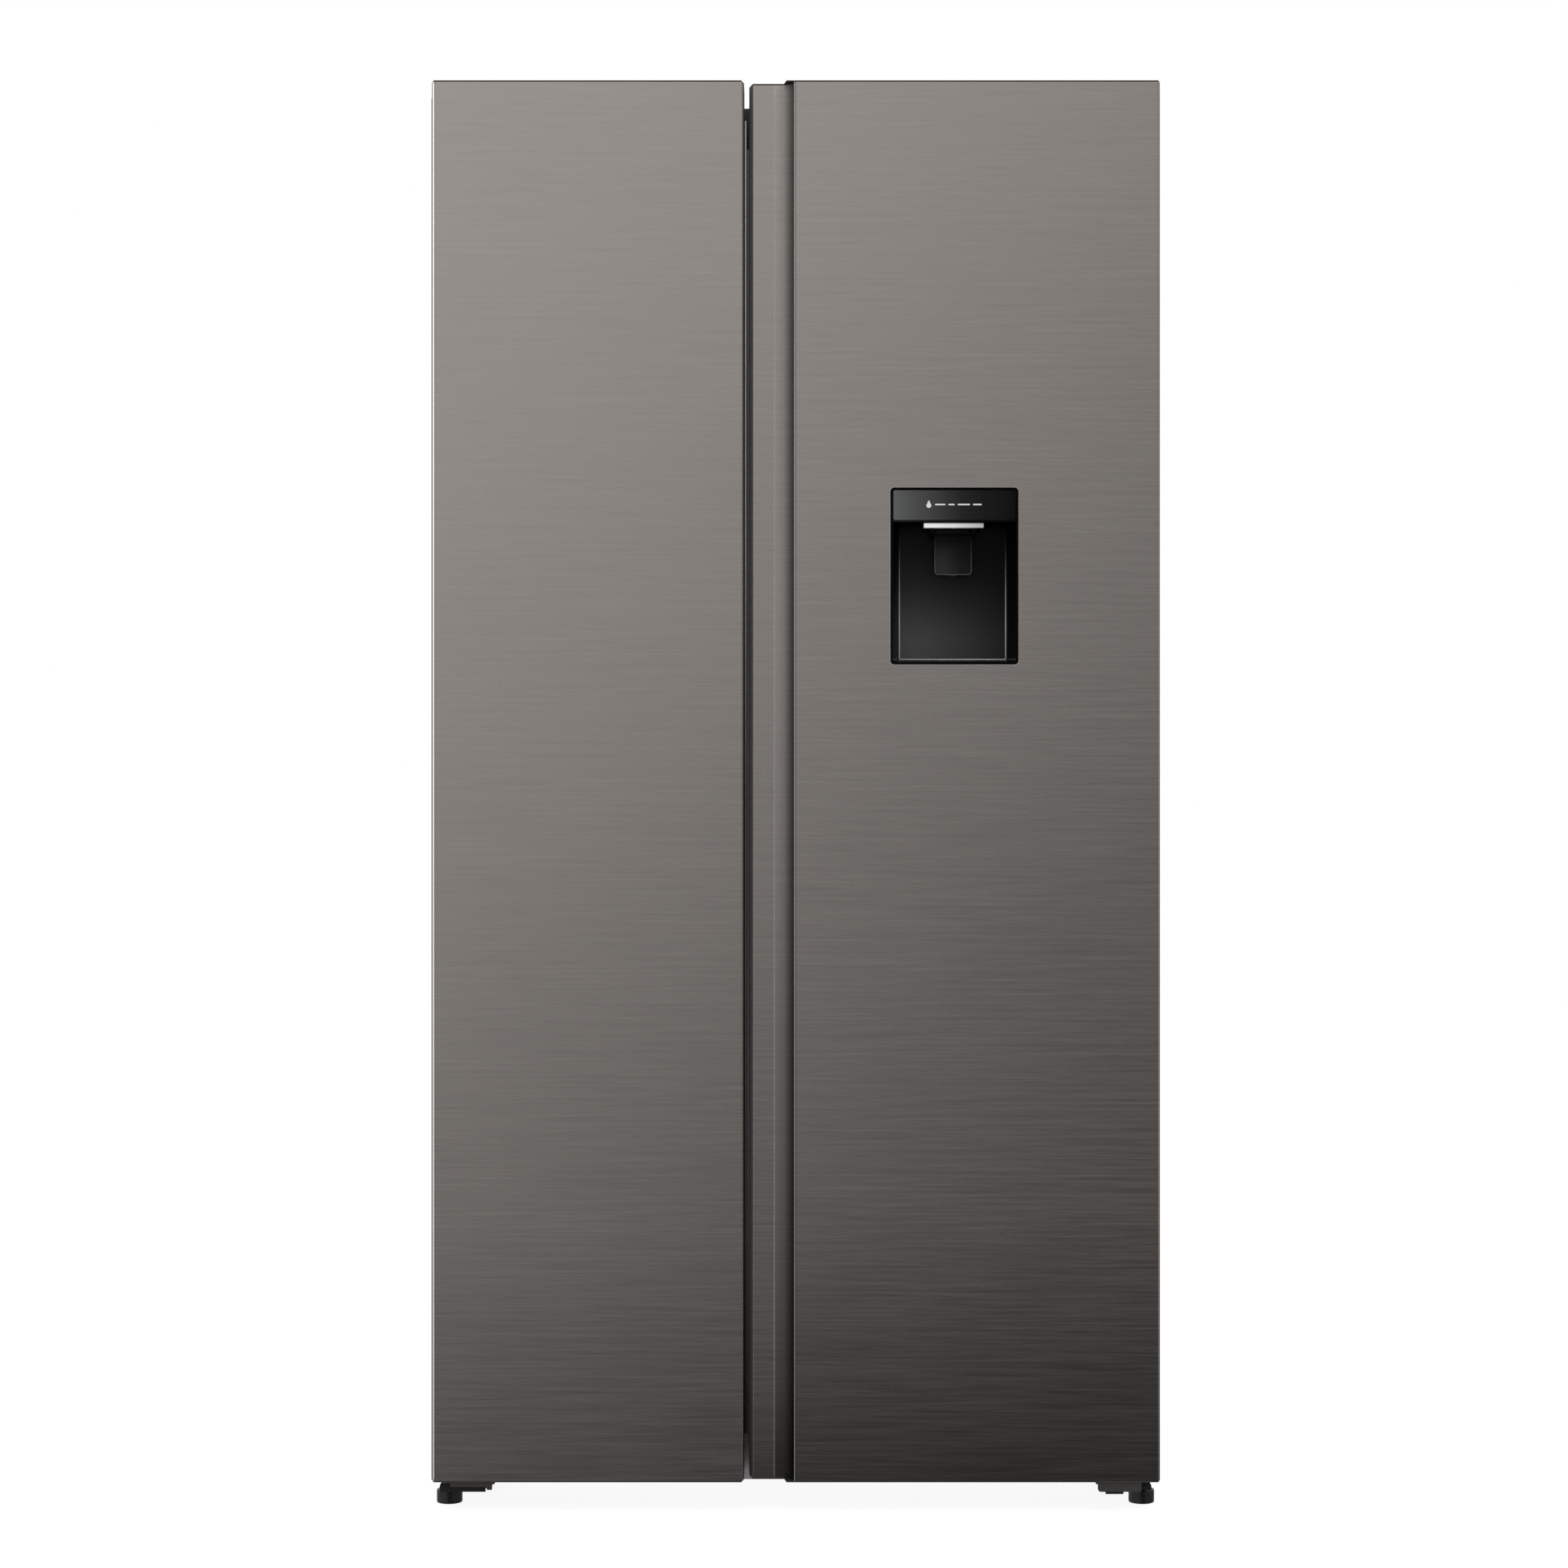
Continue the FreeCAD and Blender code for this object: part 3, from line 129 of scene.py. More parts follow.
def tint(c, f):
    return tuple(min(x * f, 1.0) for x in c[:3]) + (1.0,)


def axis_ramp(nt, axis, lo, hi, stops):
    """Grey ramp along one object axis; stops are (position in metres, value)."""
    tc = nt.nodes.new("ShaderNodeTexCoord")
    sep = nt.nodes.new("ShaderNodeSeparateXYZ")
    nt.links.new(tc.outputs["Object"], sep.inputs[0])
    f = span(nt, sep.outputs[axis], lo, hi, 0.0, 1.0)
    return ramp(nt, f, [((p - lo) / (hi - lo), grey(v)) for p, v in stops])


def pick(nt, fac, a, b):
    """a where fac is 0, b where it is 1."""
    m = nt.nodes.new("ShaderNodeMix")
    m.data_type = "RGBA"
    nt.links.new(fac, m.inputs["Factor"])
    nt.links.new(a, m.inputs["A"])
    nt.links.new(b, m.inputs["B"])
    return m.outputs["Result"]


# painted shade: how the room darkens down the height of the doors, painted into the colour of their duller edges
PAINTED_SHADE_BY_HEIGHT = [(0.038, 0.14), (0.069, 0.151), (0.151, 0.227), (0.252, 0.29), (0.354, 0.36), (0.558, 0.47), (0.761, 0.60), (0.965, 0.722),
          (1.169, 0.815), (1.372, 0.87), (1.576, 0.94), (1.786, 1.0)]


def times(nt, a, b):
    m = nt.nodes.new("ShaderNodeMix")
    m.data_type = "RGBA"
    m.blend_type = "MULTIPLY"
    m.clamp_result = False
    m.inputs["Factor"].default_value = 1.0
    nt.links.new(a, m.inputs["A"])
    nt.links.new(b, m.inputs["B"])
    return m.outputs["Result"]


def steel(name, base, rough, grain=(11, 11, 560), spread=0.075, bump_s=0.06, bands=(), painted_shade=None):
    """Brushed steel: fine streaks along the sheet, a coarser cloudiness, smears.
    bands are (axis, lo, hi, stops): painted highlight and painted shade along one axis, on folded edges that look
    brighter or duller and down the height of the door."""
    m, nt, b = new_mat(name)
    b.inputs["Metallic"].default_value = 1.0
    v = coords(nt, grain)
    fine = noise(nt, v, 1.0, 4.0, 0.62)
    v2 = coords(nt, (grain[0] * 0.6, grain[1] * 0.6, grain[2] * 0.45))
    mid = noise(nt, v2, 1.0, 3.0, 0.55)
    cloud = noise(nt, coords(nt, (3, 3, 2)), 1.0, 3.0, 0.5)
    mix = math_node(nt, "ADD", math_node(nt, "MULTIPLY", fine, 0.55), math_node(nt, "MULTIPLY", mid, 0.35))
    mix = math_node(nt, "ADD", mix, math_node(nt, "MULTIPLY", cloud, 0.10))
    col = ramp(nt, mix, [(0.34, tint(base, 1 - spread)), (0.5, tint(base, 1.0)), (0.66, tint(base, 1 + spread))])
    for band in bands:
        col = times(nt, col, axis_ramp(nt, *band))
    if painted_shade:
        # the function passed in gives a mask where the surface is turned dull and not metallic, and the painted
        # shade colour of that part
        painted_shade_mask, painted_shade_tone = painted_shade(nt)
        col = pick(nt, painted_shade_mask, col, times(nt, col, painted_shade_tone))
        nt.links.new(span(nt, painted_shade_mask, 0.0, 1.0, 1.0, 0.0), b.inputs["Metallic"])
        nt.links.new(span(nt, painted_shade_mask, 0.0, 1.0, 0.5, 0.04), b.inputs["Specular IOR Level"])
    nt.links.new(col, b.inputs["Base Color"])
    nt.links.new(span(nt, mix, 0.35, 0.65, rough - 0.035, rough + 0.035), b.inputs["Roughness"])
    bump(nt, b, fine, bump_s, 0.0002)
    return m


def painted_shade_door_edges(left, right, middle=-0.25):
    """Painted shade on the dulled front edges of a door: (mask stops, shade stops) along Y for its left and right
    edge.
    """
    def made(nt):
        tc = nt.nodes.new("ShaderNodeTexCoord")
        sep = nt.nodes.new("ShaderNodeSeparateXYZ")
        nt.links.new(tc.outputs["Object"], sep.inputs[0])
        side = span(nt, sep.outputs["X"], middle - 0.01, middle + 0.01, 0.0, 1.0)
        out = []
        for i in (0, 1):
            out.append(pick(nt, side, axis_ramp(nt, "Y", -0.3210, -0.3130, left[i]), axis_ramp(nt, "Y", -0.3210, -0.3130, right[i])))
        out[1] = times(nt, out[1], axis_ramp(nt, "Z", 0.0, 1.8, PAINTED_SHADE_BY_HEIGHT))
        return out
    return made


def painted_shade_across_grip(painted_shade_mask, painted_shade_tone):
    """Painted shade on dulled parts along X; the arc at the right also has painted shade darkening down its height,
    the rest a slighter painted shade towards the bottom.
    """
    def made(nt):
        low = axis_ramp(nt, "Z", 0.0, 1.8, PAINTED_SHADE_BY_HEIGHT)
        even = axis_ramp(nt, "Z", 0.0, 1.8, [(0.0, 0.80), (1.8, 1.0)])
        right = axis_ramp(nt, "X", -0.060, 0.0, [(-0.060, 0.0), (-0.040, 0.0), (-0.035, 1.0), (0.0, 1.0)])
        return axis_ramp(nt, "X", -0.060, 0.0, painted_shade_mask), times(nt, axis_ramp(nt, "X", -0.060, 0.0, painted_shade_tone), pick(nt, right, even, low))
    return made


def plastic(name, base, rough=0.4, spread=0.04, peel=0.02, scale=900, metallic=0.0, coat=0.0, dist=0.0002, spec=0.5, bands=()):
    """Moulded plastic or paint: slight colour drift, fine moulded texture."""
    m, nt, b = new_mat(name)
    b.inputs["Metallic"].default_value = metallic
    b.inputs["Specular IOR Level"].default_value = spec
    drift = noise(nt, coords(nt, (6, 6, 6)), 1.0, 3.0, 0.5)
    col = ramp(nt, drift, [(0.3, tint(base, 1 - spread)), (0.7, tint(base, 1 + spread))])
    for band in bands:
        col = times(nt, col, axis_ramp(nt, *band))
    nt.links.new(col, b.inputs["Base Color"])
    tex = noise(nt, coords(nt, (scale, scale, scale)), 1.0, 2.0, 0.5)
    nt.links.new(span(nt, tex, 0.3, 0.7, max(rough - 0.05, 0.03), rough + 0.05), b.inputs["Roughness"])
    bump(nt, b, tex, peel, dist)
    if coat:
        b.inputs["Coat Weight"].default_value = coat
        b.inputs["Coat Roughness"].default_value = 0.08
    return m


def clear(name, base, rough, trans, ior=1.49, spread=0.02):
    m, nt, b = new_mat(name)
    drift = noise(nt, coords(nt, (12, 12, 12)), 1.0, 2.0, 0.5)
    nt.links.new(ramp(nt, drift, [(0.3, tint(base, 1 - spread)), (0.7, tint(base, 1 + spread))]), b.inputs["Base Color"])
    b.inputs["Transmission Weight"].default_value = trans
    b.inputs["IOR"].default_value = ior
    nt.links.new(span(nt, noise(nt, coords(nt, (90, 90, 90)), 1.0, 2.0, 0.5), 0.3, 0.7, rough * 0.8, rough * 1.2), b.inputs["Roughness"])
    return m


M = {}
STEEL = (0.655, 0.606, 0.572)
M["stainless"] = steel("stainless", STEEL, 0.27)
# freezer door, a lit copy of the steel: a painted highlight where the folded left edge catches the light, a painted
# dark line beside it, painted shade round both edges and towards the bottom
M["stainless_freezer_painted_light"] = steel("stainless_freezer_painted_light", STEEL, 0.27, bands=[
    ("Z", 0.030, 0.460, [(0.030, 0.76), (0.069, 0.81), (0.151, 0.87), (0.252, 0.93), (0.360, 1.0), (0.460, 1.0)]),
    ("X", -0.4545, -0.448, [(-0.4545, 1.6), (-0.4520, 1.6), (-0.4514, 1.15), (-0.4508, 0.66), (-0.4500, 0.86), (-0.4490, 1.0), (-0.448, 1.0)])],
    painted_shade=painted_shade_door_edges(([(-0.3210, 0.0), (-0.3195, 0.0), (-0.3192, 1.0), (-0.3162, 1.0), (-0.3158, 0.0), (-0.3130, 0.0)],
                    [(-0.3210, 0.10), (-0.3192, 0.06), (-0.3130, 0.03)]),
                   ([(-0.3210, 0.0), (-0.3204, 0.0), (-0.3201, 1.0), (-0.3176, 1.0), (-0.3172, 0.0), (-0.3130, 0.0)],
                    [(-0.3210, 0.12), (-0.3200, 0.06), (-0.3130, 0.03)])))
# fridge door, a shaded copy of the steel: a painted dark line beside the bright edge of the grip, painted shade on
# its right edge and towards the bottom
M["stainless_fridge_painted_shade"] = steel("stainless_fridge_painted_shade", STEEL, 0.27, bands=[
    ("Z", 0.030, 0.460, [(0.030, 0.50), (0.069, 0.58), (0.151, 0.70), (0.252, 0.82), (0.354, 0.96), (0.420, 1.0), (0.460, 1.0)]),
    ("X", -0.003, 0.002, [(-0.003, 0.6), (-0.0007, 0.6), (-0.0004, 0.45), (0.0003, 0.45), (0.0009, 1.0), (0.002, 1.0)])],
    painted_shade=painted_shade_door_edges(([(-0.3210, 0.0), (-0.3130, 0.0)], [(-0.3210, 0.3), (-0.3130, 0.3)]),
                   ([(-0.3210, 0.0), (-0.3203, 0.0), (-0.3199, 1.0), (-0.3176, 1.0), (-0.3172, 0.0), (-0.3130, 0.0)],
                    [(-0.3210, 0.30), (-0.3195, 0.26), (-0.3130, 0.20)]), middle=0.2))
# grip channel: painted shade towards the steep end of its arc and round its left edge, and painted shade darkening
# towards the bottom
M["grip_steel"] = steel("grip_steel", STEEL, 0.28, bands=[
    ("Z", 0.030, 0.900, [(0.030, 0.50), (0.070, 0.60), (0.150, 0.78), (0.250, 0.88), (0.400, 0.95), (0.900, 1.0)])],
    painted_shade=painted_shade_across_grip([(-0.060, 1.0), (-0.0534, 1.0), (-0.0525, 0.0), (-0.0278, 0.0), (-0.0256, 1.0), (0.0, 1.0)],
                     [(-0.060, 0.26), (-0.0580, 0.20), (-0.0560, 0.13), (-0.0546, 0.10), (-0.0534, 0.12), (-0.0525, 0.42), (-0.0256, 0.49), (-0.0225, 0.475), (-0.0196, 0.45),
                      (-0.0170, 0.42), (-0.0145, 0.38), (-0.0125, 0.32), (-0.0104, 0.245), (-0.0084, 0.20), (-0.0064, 0.15), (-0.0044, 0.105), (-0.0025, 0.08),
                      (0.0, 0.08)]))
M["cabinet_paint"] = plastic("cabinet_paint", (0.085, 0.085, 0.088), 0.42, 0.03, 0.25, 1400)
M["zinc_steel"] = plastic("zinc_steel", (0.46, 0.47, 0.48), 0.38, 0.035, 0.08, 500, metallic=0.9)
M["black_paint"] = plastic("black_paint", (0.018, 0.018, 0.019), 0.38, 0.1, 0.1, 900)
M["hinge_steel"] = plastic("hinge_steel", (0.008, 0.008, 0.009), 0.45, 0.12, 0.2, 1100)
M["white_liner"] = plastic("white_liner", (0.80, 0.82, 0.83), 0.32, 0.012, 0.04, 260)
M["foam"] = plastic("foam", (0.70, 0.62, 0.38), 0.85, 0.10, 0.6, 260)
M["cap_plastic"] = plastic("cap_plastic", (0.036, 0.0335, 0.031), 0.55, 0.06, 0.25, 900, spec=0.3, bands=[
    ("Z", 0.020, 0.060, [(0.020, 1.0), (0.0375, 1.0), (0.0385, 0.30), (0.060, 0.30)])])
M["gasket_rubber"] = plastic("gasket_rubber", (0.055, 0.055, 0.058), 0.6, 0.08, 0.15, 700)
M["clear_plastic"] = clear("clear_plastic", (0.86, 0.93, 0.96), 0.06, 0.92)
M["shelf_glass"] = clear("shelf_glass", (0.80, 0.93, 0.90), 0.02, 0.97, 1.52)
M["trim_plastic"] = plastic("trim_plastic", (0.50, 0.51, 0.52), 0.28, 0.03, 0.05, 500, metallic=0.6)
M["gloss_black"] = plastic("gloss_black", (0.006, 0.006, 0.0065), 0.09, 0.15, 0.01, 60)
# painted shade: the white bar darkens from left to right
M["nozzle_white"] = plastic("nozzle_white", (0.95, 0.945, 0.93), 0.30, 0.01, 0.02, 300, bands=[
    ("X", 0.160, 0.236, [(0.160, 1.0), (0.178, 0.98), (0.205, 0.78), (0.226, 0.58), (0.236, 0.52)])])
# painted reflection on the gloss panel: lighter at the left, near black at the right, slightly darker at the top
M["panel_painted_reflection"] = plastic("panel_painted_reflection", (0.098, 0.100, 0.101), 0.16, 0.03, 0.01, 60, spec=0.16, bands=[
    ("X", 0.120, 0.276, [(0.120, 1.0), (0.135, 0.80), (0.150, 0.62), (0.170, 0.46), (0.190, 0.27), (0.210, 0.14), (0.235, 0.08), (0.262, 0.05), (0.276, 0.02)]),
    ("Z", 1.236, 1.276, [(1.236, 1.05), (1.240, 1.0), (1.262, 1.0), (1.276, 0.92)])])
# painted shade in the dispenser recess: near black walls and rim, the back plate lighter at the lower left and near
# black at the top
M["alcove_painted_shade"] = plastic("alcove_painted_shade", (0.088, 0.088, 0.089), 0.22, 0.04, 0.01, 90, spec=0.12, bands=[
    ("Y", -0.3220, -0.2750, [(-0.3220, 0.03), (-0.3200, 0.01), (-0.2772, 0.008), (-0.2762, 1.0), (-0.2750, 1.0)]),
    ("X", 0.130, 0.268, [(0.130, 1.0), (0.155, 0.86), (0.180, 0.66), (0.205, 0.50), (0.235, 0.36), (0.268, 0.24)]),
    ("Z", 1.060, 1.236, [(1.060, 1.10), (1.085, 0.88), (1.110, 0.60), (1.135, 0.36), (1.160, 0.20), (1.190, 0.10), (1.215, 0.05), (1.236, 0.02)])])
# painted shade on the paddle: darker to the right and near black at the top
M["paddle_painted_shade"] = plastic("paddle_painted_shade", (0.022, 0.022, 0.023), 0.24, 0.04, 0.01, 90, spec=0.12, bands=[
    ("X", 0.170, 0.226, [(0.170, 1.0), (0.186, 1.0), (0.205, 0.42), (0.226, 0.20)]),
    ("Z", 1.160, 1.226, [(1.160, 0.9), (1.180, 1.0), (1.200, 0.55), (1.212, 0.15), (1.226, 0.04)])])
# painted highlight on the beads round the alcove plate, fading to painted shade towards the top
M["bead_painted_highlight"] = plastic("bead_painted_highlight", (0.60, 0.60, 0.60), 0.30, 0.04, 0.01, 90, bands=[
    ("Z", 1.060, 1.236, [(1.060, 1.0), (1.110, 0.95), (1.150, 0.62), (1.180, 0.32), (1.205, 0.10), (1.236, 0.02)])])
# painted highlight on the paddle's edge bead, fading to painted shade towards the top
M["paddle_bead_painted_highlight"] = plastic("paddle_bead_painted_highlight", (0.10, 0.10, 0.10), 0.30, 0.04, 0.01, 90, spec=0.3, bands=[
    ("Z", 1.168, 1.226, [(1.168, 1.0), (1.185, 0.8), (1.205, 0.35), (1.226, 0.05)])])
M["rim_grey"] = plastic("rim_grey", (0.42, 0.415, 0.41), 0.30, 0.04, 0.01, 90)
# painted shade on the centre rail between the doors: darker upwards, with darker painted strips of shade down the
# gap
M["mullion_painted_shade"] = plastic("mullion_painted_shade", (0.44, 0.42, 0.47), 0.13, 0.05, 0.02, 600, metallic=1.0, bands=[
    ("Z", 0.080, 1.760, [(0.080, 1.0), (0.300, 0.75), (0.700, 0.42), (1.100, 0.32), (1.760, 0.28)]),
    ("X", -0.075, -0.050, [(-0.075, 1.0), (-0.0690, 1.0), (-0.0680, 0.2), (-0.0643, 0.2), (-0.0638, 0.6), (-0.0615, 0.6), (-0.0600, 1.0), (-0.050, 1.0)])])
# painted shade on the base pan: darker above about 9 to 11 cm
M["pan_painted_shade"] = plastic("pan_painted_shade", (0.27, 0.262, 0.28), 0.42, 0.05, 0.1, 600, bands=[
    ("Z", 0.020, 0.260, [(0.020, 1.0), (0.085, 0.95), (0.110, 0.30), (0.260, 0.25)])])
M["spring_steel"] = steel("spring_steel", (0.60, 0.60, 0.58), 0.30, (600, 30, 30))
M["compressor_black"] = plastic("compressor_black", (0.012, 0.012, 0.012), 0.25, 0.2, 0.15, 160)
M["coil_metal"] = plastic("coil_metal", (0.58, 0.59, 0.60), 0.32, 0.06, 0.1, 400, metallic=1.0)
M["fan_plastic"] = plastic("fan_plastic", (0.035, 0.035, 0.038), 0.5, 0.05, 0.1, 600)
M["lamp_lens"] = clear("lamp_lens", (0.95, 0.95, 0.93), 0.35, 0.55)
M["roller_plastic"] = plastic("roller_plastic", (0.030, 0.030, 0.032), 0.55, 0.08, 0.2, 500)
M["foot_plastic"] = plastic("foot_plastic", (0.011, 0.011, 0.012), 0.24, 0.06, 0.06, 500)
M["bolt_zinc"] = plastic("bolt_zinc", (0.62, 0.62, 0.58), 0.26, 0.08, 0.08, 800, metallic=1.0)
M["grey_plastic"] = plastic("grey_plastic", (0.12, 0.12, 0.125), 0.5, 0.05, 0.2, 700)

slot_of = {s["node"]: s["material_slot"] for s in frame["record"]["subparts"]}


def dress(obj, mat):
    obj.data.materials.clear()
    obj.data.materials.append(mat)


special = {
    "freezer_door_skin": "stainless_freezer_painted_light", "fridge_door_skin": "stainless_fridge_painted_shade", "dispenser_panel": "panel_painted_reflection",
    "dispenser_housing": "alcove_painted_shade", "dispenser_paddle": "paddle_painted_shade", "mullion_cover": "mullion_painted_shade", "base_pan": "pan_painted_shade",
}
for name, obj in N.items():
    dress(obj, M[special.get(name, slot_of[name])])
    for poly in obj.data.polygons:
        poly.use_smooth = True
    obj.data.set_sharp_from_angle(angle=math.radians(32))


# -------------------------------------------------------------- extra details
def mesh_obj(name, bm, mat, body):
    me = bpy.data.meshes.new(name)
    bm.to_mesh(me)
    bm.free()
    o = bpy.data.objects.new(name, me)
    scene.collection.objects.link(o)
    me.materials.append(mat)
    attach(o, body)
    return o


# printed symbols on the dispenser panel: a drop and four bars
def flat_shape(bm, pts, y, t=0.00012):
    front = [bm.verts.new((p[0], y - t, p[1])) for p in pts]
    back = [bm.verts.new((p[0], y, p[1])) for p in pts]
    f = bm.faces.new(front)
    bm.faces.new(list(reversed(back)))
    n = len(pts)
    for i in range(n):
        bm.faces.new([front[(i + 1) % n], front[i], back[i], back[(i + 1) % n]])
    return f


p_lo, p_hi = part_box("dispenser_panel")
py = p_lo.y
sym = bmesh.new()
pcx = (p_lo.x + p_hi.x) / 2
sz = 1.2565
# drop
drop = []
for i in range(28):
    a = 2 * math.pi * i / 28
    r = 0.0031
    x, z = r * math.sin(a), r * math.cos(a)
    if z > 0:
        k = z / r
        z = z + 0.0034 * k ** 2.2
        x = x * (1 - 0.55 * k ** 1.6)
    drop.append((pcx - 0.0320 + x, sz - 0.0012 + z))
flat_shape(sym, drop, py)
# four bars of different lengths in place of a word
bx = pcx - 0.0243
for w in (0.0130, 0.0080, 0.0155, 0.0110):
    pts = []
    for sx, s0 in ((1, -90), (-1, 90)):
        cx = bx + w - 0.0009 if sx > 0 else bx + 0.0009
        for i in range(7):
            a = math.radians(s0 + i * 30)
            pts.append((cx + 0.0009 * math.cos(a), sz + 0.0009 * math.sin(a)))
    flat_shape(sym, pts, py)
    bx += w + 0.0036
bmesh.ops.recalc_face_normals(sym, faces=sym.faces)
M["print_white"] = plastic("print_white", (0.62, 0.62, 0.62), 0.5, 0.03, 0.02, 900)
mesh_obj("panel_symbols", sym, M["print_white"], "fridge_door")


def tube(name, pts, r, mat, body, closed=False, sides=8):
    """Thin round bead along a line of points."""
    bm = bmesh.new()
    pts = [Vector(p) for p in pts]
    n = len(pts)
    rings = []
    for i, p in enumerate(pts):
        prev = pts[i - 1] if (i > 0 or closed) else p
        nxt = pts[(i + 1) % n] if (i < n - 1 or closed) else p
        d = ((p - prev).normalized() + (nxt - p).normalized()).normalized()
        u = Vector((0, 1, 0)) if abs(d.y) < 0.9 else Vector((1, 0, 0))
        v = d.cross(u).normalized()
        u = v.cross(d).normalized()
        rings.append([bm.verts.new(p + r * (math.cos(2 * math.pi * k / sides) * u + math.sin(2 * math.pi * k / sides) * v)) for k in range(sides)])
    last = n if closed else n - 1
    for i in range(last):
        a, b = rings[i], rings[(i + 1) % n]
        for k in range(sides):
            f = bm.faces.new([a[k], a[(k + 1) % sides], b[(k + 1) % sides], b[k]])
            f.smooth = True
    if not closed:
        bm.faces.new(list(reversed(rings[0])))
        bm.faces.new(rings[-1])
    bmesh.ops.recalc_face_normals(bm, faces=bm.faces)
    return mesh_obj(name, bm, mat, body)


def round_rect(x0, x1, z0, z1, y, r, steps=6, open_top=False):
    out = []
    for cx, cz, a0 in ((x1 - r, z1 - r, 90), (x1 - r, z0 + r, 0), (x0 + r, z0 + r, -90), (x0 + r, z1 - r, -180)):
        if open_top and cz > (z0 + z1) / 2:
            continue
        for i in range(steps + 1):
            a = math.radians(a0 - 90.0 * i / steps)
            out.append((cx + r * math.cos(a), y, cz + r * math.sin(a)))
    if open_top:
        out = [(x1, y, z1)] + out + [(x0, y, z1)]
    return out


h_lo, h_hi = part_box("dispenser_housing")
tube("dispenser_rim_bead", round_rect(h_lo.x + 0.0002, h_hi.x - 0.0002, h_lo.z + 0.0002, h_hi.z - 0.0002, -0.3208, 0.0044), 0.0006, M["rim_grey"],
     "fridge_door", closed=True)
tube("alcove_plate_bead", round_rect(0.1312, 0.2652, 1.0650, 1.2335, -0.2757, 0.0015, open_top=True), 0.0006, M["bead_painted_highlight"], "fridge_door")
tube("panel_lower_bead", [(p_lo.x - 0.0004, -0.32022, 1.2360), (p_hi.x + 0.0004, -0.32022, 1.2360)], 0.0013, M["panel_painted_reflection"], "fridge_door", sides=16)
d_lo, d_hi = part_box("dispenser_paddle")
tube("paddle_edge_bead", round_rect(0.1747, 0.2203, d_lo.z + 0.0005, 1.2190, -0.3002, 0.0043, open_top=True), 0.0004, M["paddle_bead_painted_highlight"], "paddle")
# painted highlight: a bright bead down the grip edge of the fridge door, with painted shade dimming it towards the
# bottom
M["grip_edge_painted_highlight"] = plastic("grip_edge_painted_highlight", (0.42, 0.40, 0.385), 0.35, 0.03, 0.05, 500, spec=0.1, bands=[
    ("Z", 0.040, 1.784, [(0.040, 0.72), (1.784, 1.0)])])
tube("grip_edge_highlight_bead", [(-0.0012, -0.3207, 0.0380), (-0.0012, -0.3207, 1.7840)], 0.0005, M["grip_edge_painted_highlight"], "fridge_door")
# painted highlight: a white bead down the outer left edge of the freezer door, where its folded edge catches the
# light, with painted shade dimming it towards the bottom
M["freezer_edge_painted_highlight"] = plastic("freezer_edge_painted_highlight", (0.90, 0.89, 0.88), 0.35, 0.02, 0.03, 500, spec=0.2, bands=[
    ("Z", 0.040, 1.784, [(0.040, 0.66), (0.900, 0.88), (1.784, 1.0)])])
tube("freezer_edge_highlight_bead", [(-0.4517, -0.32015, 0.0410), (-0.4517, -0.32015, 1.7825)], 0.0007, M["freezer_edge_painted_highlight"], "freezer_door")
# raised line on the centre rail between the doors, coloured as a painted highlight that fades to painted shade lower
# down
m_lo, m_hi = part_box("mullion_cover")
M["rail_line_painted_highlight"] = plastic("rail_line_painted_highlight", (0.85, 0.84, 0.83), 0.10, 0.03, 0.01, 500, metallic=1.0, bands=[
    ("Z", 0.080, 1.760, [(0.080, 0.35), (0.900, 0.30), (1.050, 0.55), (1.200, 0.85), (1.760, 1.0)])])
line = bmesh.new()
bmesh.ops.create_cube(line, size=1.0, matrix=Matrix.Translation((-0.0633, m_lo.y + 0.0001, (m_lo.z + 1.7525) / 2)) @ Matrix.Diagonal((0.0014, 0.0006, 1.7525 - m_lo.z - 0.004, 1.0)))
bmesh.ops.bevel(line, geom=line.edges[:], offset=0.00015, segments=2, affect="EDGES")
mesh_obj("centre_rail_line", line, M["rail_line_painted_highlight"], "cabinet")


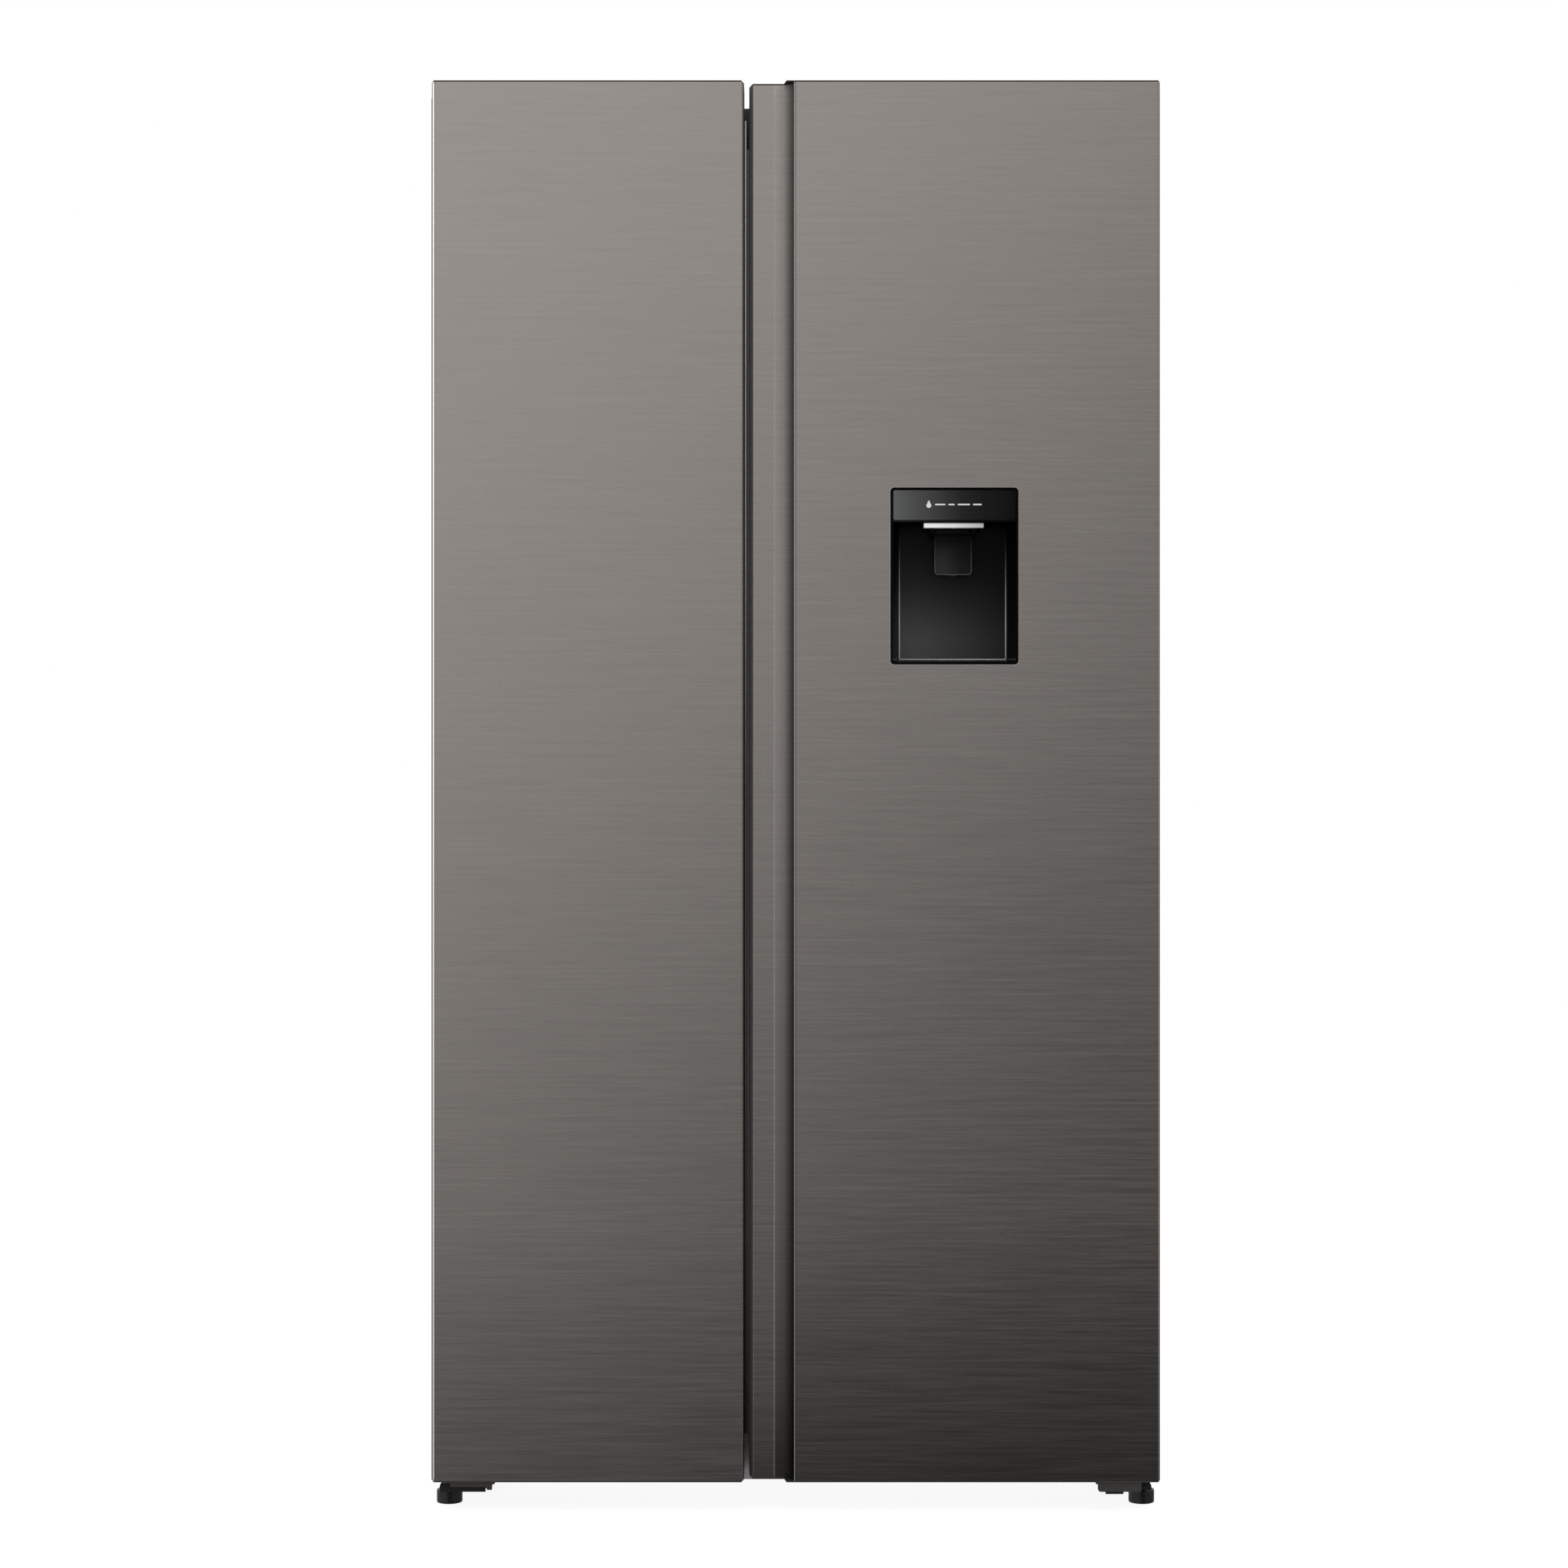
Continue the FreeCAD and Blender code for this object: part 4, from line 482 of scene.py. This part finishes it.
# ---------------------------------------------------------------- world, stage
def build_world():
    w = bpy.data.worlds.new("studio")
    scene.world = w
    w.use_nodes = True
    nt = w.node_tree
    for n in list(nt.nodes):
        nt.nodes.remove(n)
    out = nt.nodes.new("ShaderNodeOutputWorld")
    white = nt.nodes.new("ShaderNodeBackground")
    white.inputs["Color"].default_value = (1, 1, 1, 1)
    white.inputs["Strength"].default_value = 1.0
    soft = nt.nodes.new("ShaderNodeBackground")
    soft.inputs["Color"].default_value = (1, 1, 1, 1)
    soft.inputs["Strength"].default_value = 1.0
    bg = nt.nodes.new("ShaderNodeBackground")
    tc = nt.nodes.new("ShaderNodeTexCoord")
    sep = nt.nodes.new("ShaderNodeSeparateXYZ")
    nt.links.new(tc.outputs["Generated"], sep.inputs[0])
    # the studio in front of the doors: a large soft light to the upper left,
    # falling off along a diagonal to a dark room at the lower right
    depth = math_node(nt, "MAXIMUM", math_node(nt, "MULTIPLY", sep.outputs["Y"], -1.0), 0.12)
    a = math_node(nt, "DIVIDE", sep.outputs["X"], depth)
    e = math_node(nt, "DIVIDE", sep.outputs["Z"], depth)
    d = math_node(nt, "SUBTRACT", e, a)
    d01 = span(nt, d, -0.60, 0.90, 0.0, 1.0)
    steps = [(-0.60, 0.000), (-0.38, 0.001), (-0.30, 0.006), (-0.24, 0.028), (-0.17, 0.095), (-0.10, 0.172), (-0.03, 0.238),
             (0.05, 0.310), (0.14, 0.405), (0.24, 0.485), (0.36, 0.530), (0.55, 0.550), (0.90, 0.560)]
    fall = ramp(nt, d01, [((x + 0.60) / 1.5, grey(v)) for x, v in steps])
    # the floor line of the room: darker still towards the bottom
    low = math_node(nt, "SUBTRACT", e, math_node(nt, "MULTIPLY", a, 0.35))
    low01 = span(nt, low, -0.50, 0.0, 0.0, 1.0)
    floor_fall = ramp(nt, low01, [((x + 0.50) / 0.5, grey(v)) for x, v in
                                  [(-0.50, 0.0), (-0.30, 0.01), (-0.25, 0.04), (-0.21, 0.14), (-0.165, 0.46), (-0.11, 0.86), (-0.04, 1.0), (0.0, 1.0)]])
    fall = times(nt, fall, floor_fall)
    # outside that field of view: an even, bright studio
    side = span(nt, sep.outputs["Y"], -0.86, -0.62, 0.0, 1.0, smooth=True)
    mix = nt.nodes.new("ShaderNodeMix")
    mix.data_type = "FLOAT"
    far_right = span(nt, a, 0.36, 0.62, 0.0, 1.0, smooth=True)
    nt.links.new(math_node(nt, "MAXIMUM", side, far_right), mix.inputs["Factor"])
    nt.links.new(fall, mix.inputs["A"])
    # brighter to the left of the object than to its right
    beside = span(nt, sep.outputs["X"], -0.5, 0.5, 0.66, 0.34, smooth=True)
    below = span(nt, sep.outputs["Z"], -0.45, 0.10, 0.40, 1.0, smooth=True)
    nt.links.new(math_node(nt, "MULTIPLY", beside, below), mix.inputs["B"])
    nt.links.new(mix.outputs[0], bg.inputs["Strength"])
    bg.inputs["Color"].default_value = (1, 0.996, 0.990, 1)
    lp = nt.nodes.new("ShaderNodeLightPath")
    m1 = nt.nodes.new("ShaderNodeMixShader")
    m2 = nt.nodes.new("ShaderNodeMixShader")
    nt.links.new(lp.outputs["Is Glossy Ray"], m1.inputs[0])
    nt.links.new(soft.outputs[0], m1.inputs[1])
    nt.links.new(bg.outputs[0], m1.inputs[2])
    nt.links.new(lp.outputs["Is Camera Ray"], m2.inputs[0])
    nt.links.new(m1.outputs[0], m2.inputs[1])
    nt.links.new(white.outputs[0], m2.inputs[2])
    nt.links.new(m2.outputs[0], out.inputs["Surface"])


build_world()

# pale floor
fl = bmesh.new()
bmesh.ops.create_grid(fl, x_segments=8, y_segments=8, size=9.0)
me = bpy.data.meshes.new("floor")
fl.to_mesh(me)
fl.free()
floor = bpy.data.objects.new("floor", me)
scene.collection.objects.link(floor)
fm, nt, b = new_mat("floor_paper")
nt.links.new(ramp(nt, noise(nt, coords(nt, (2, 2, 2)), 1.0, 2.0, 0.5), [(0.3, grey(0.13)), (0.7, grey(0.14))]), b.inputs["Base Color"])
b.inputs["Roughness"].default_value = 0.9
b.inputs["Specular IOR Level"].default_value = 0.0
# paper lit from behind as well, so that the object stands on plain white
b.inputs["Emission Color"].default_value = (1, 1, 1, 1)
b.inputs["Emission Strength"].default_value = 0.91
me.materials.append(fm)
floor.location = (0, 0, -0.0002)
floor.visible_glossy = False
floor.visible_diffuse = False


def area(name, loc, target, size, energy, color=(1, 1, 1)):
    l = bpy.data.lights.new(name, "AREA")
    l.shape = "RECTANGLE"
    l.size, l.size_y = size
    l.energy = energy
    l.color = color
    o = bpy.data.objects.new(name, l)
    scene.collection.objects.link(o)
    o.location = loc
    d = Vector(target) - Vector(loc)
    o.rotation_euler = d.to_track_quat("-Z", "Y").to_euler()
    return o


top = area("top_softbox", (0, 0.3, 4.6), (0, 0, 0), (6.0, 5.0), 120)
top.visible_glossy = False
fill = area("fill_left", (-4.2, -1.5, 2.2), (0, 0, 0.9), (2.5, 3.0), 30)
fill.visible_glossy = False

# --------------------------------------------------------------------- camera
cam = bpy.data.cameras.new("camera")
cam.lens = 74.5
cam.sensor_width = 36.0
cam.clip_end = 60
co = bpy.data.objects.new("camera", cam)
scene.collection.objects.link(co)
co.location = (-0.0145, -0.3205 - 4.05, 0.9077)
co.rotation_euler = (math.radians(90), 0, 0)
scene.camera = co
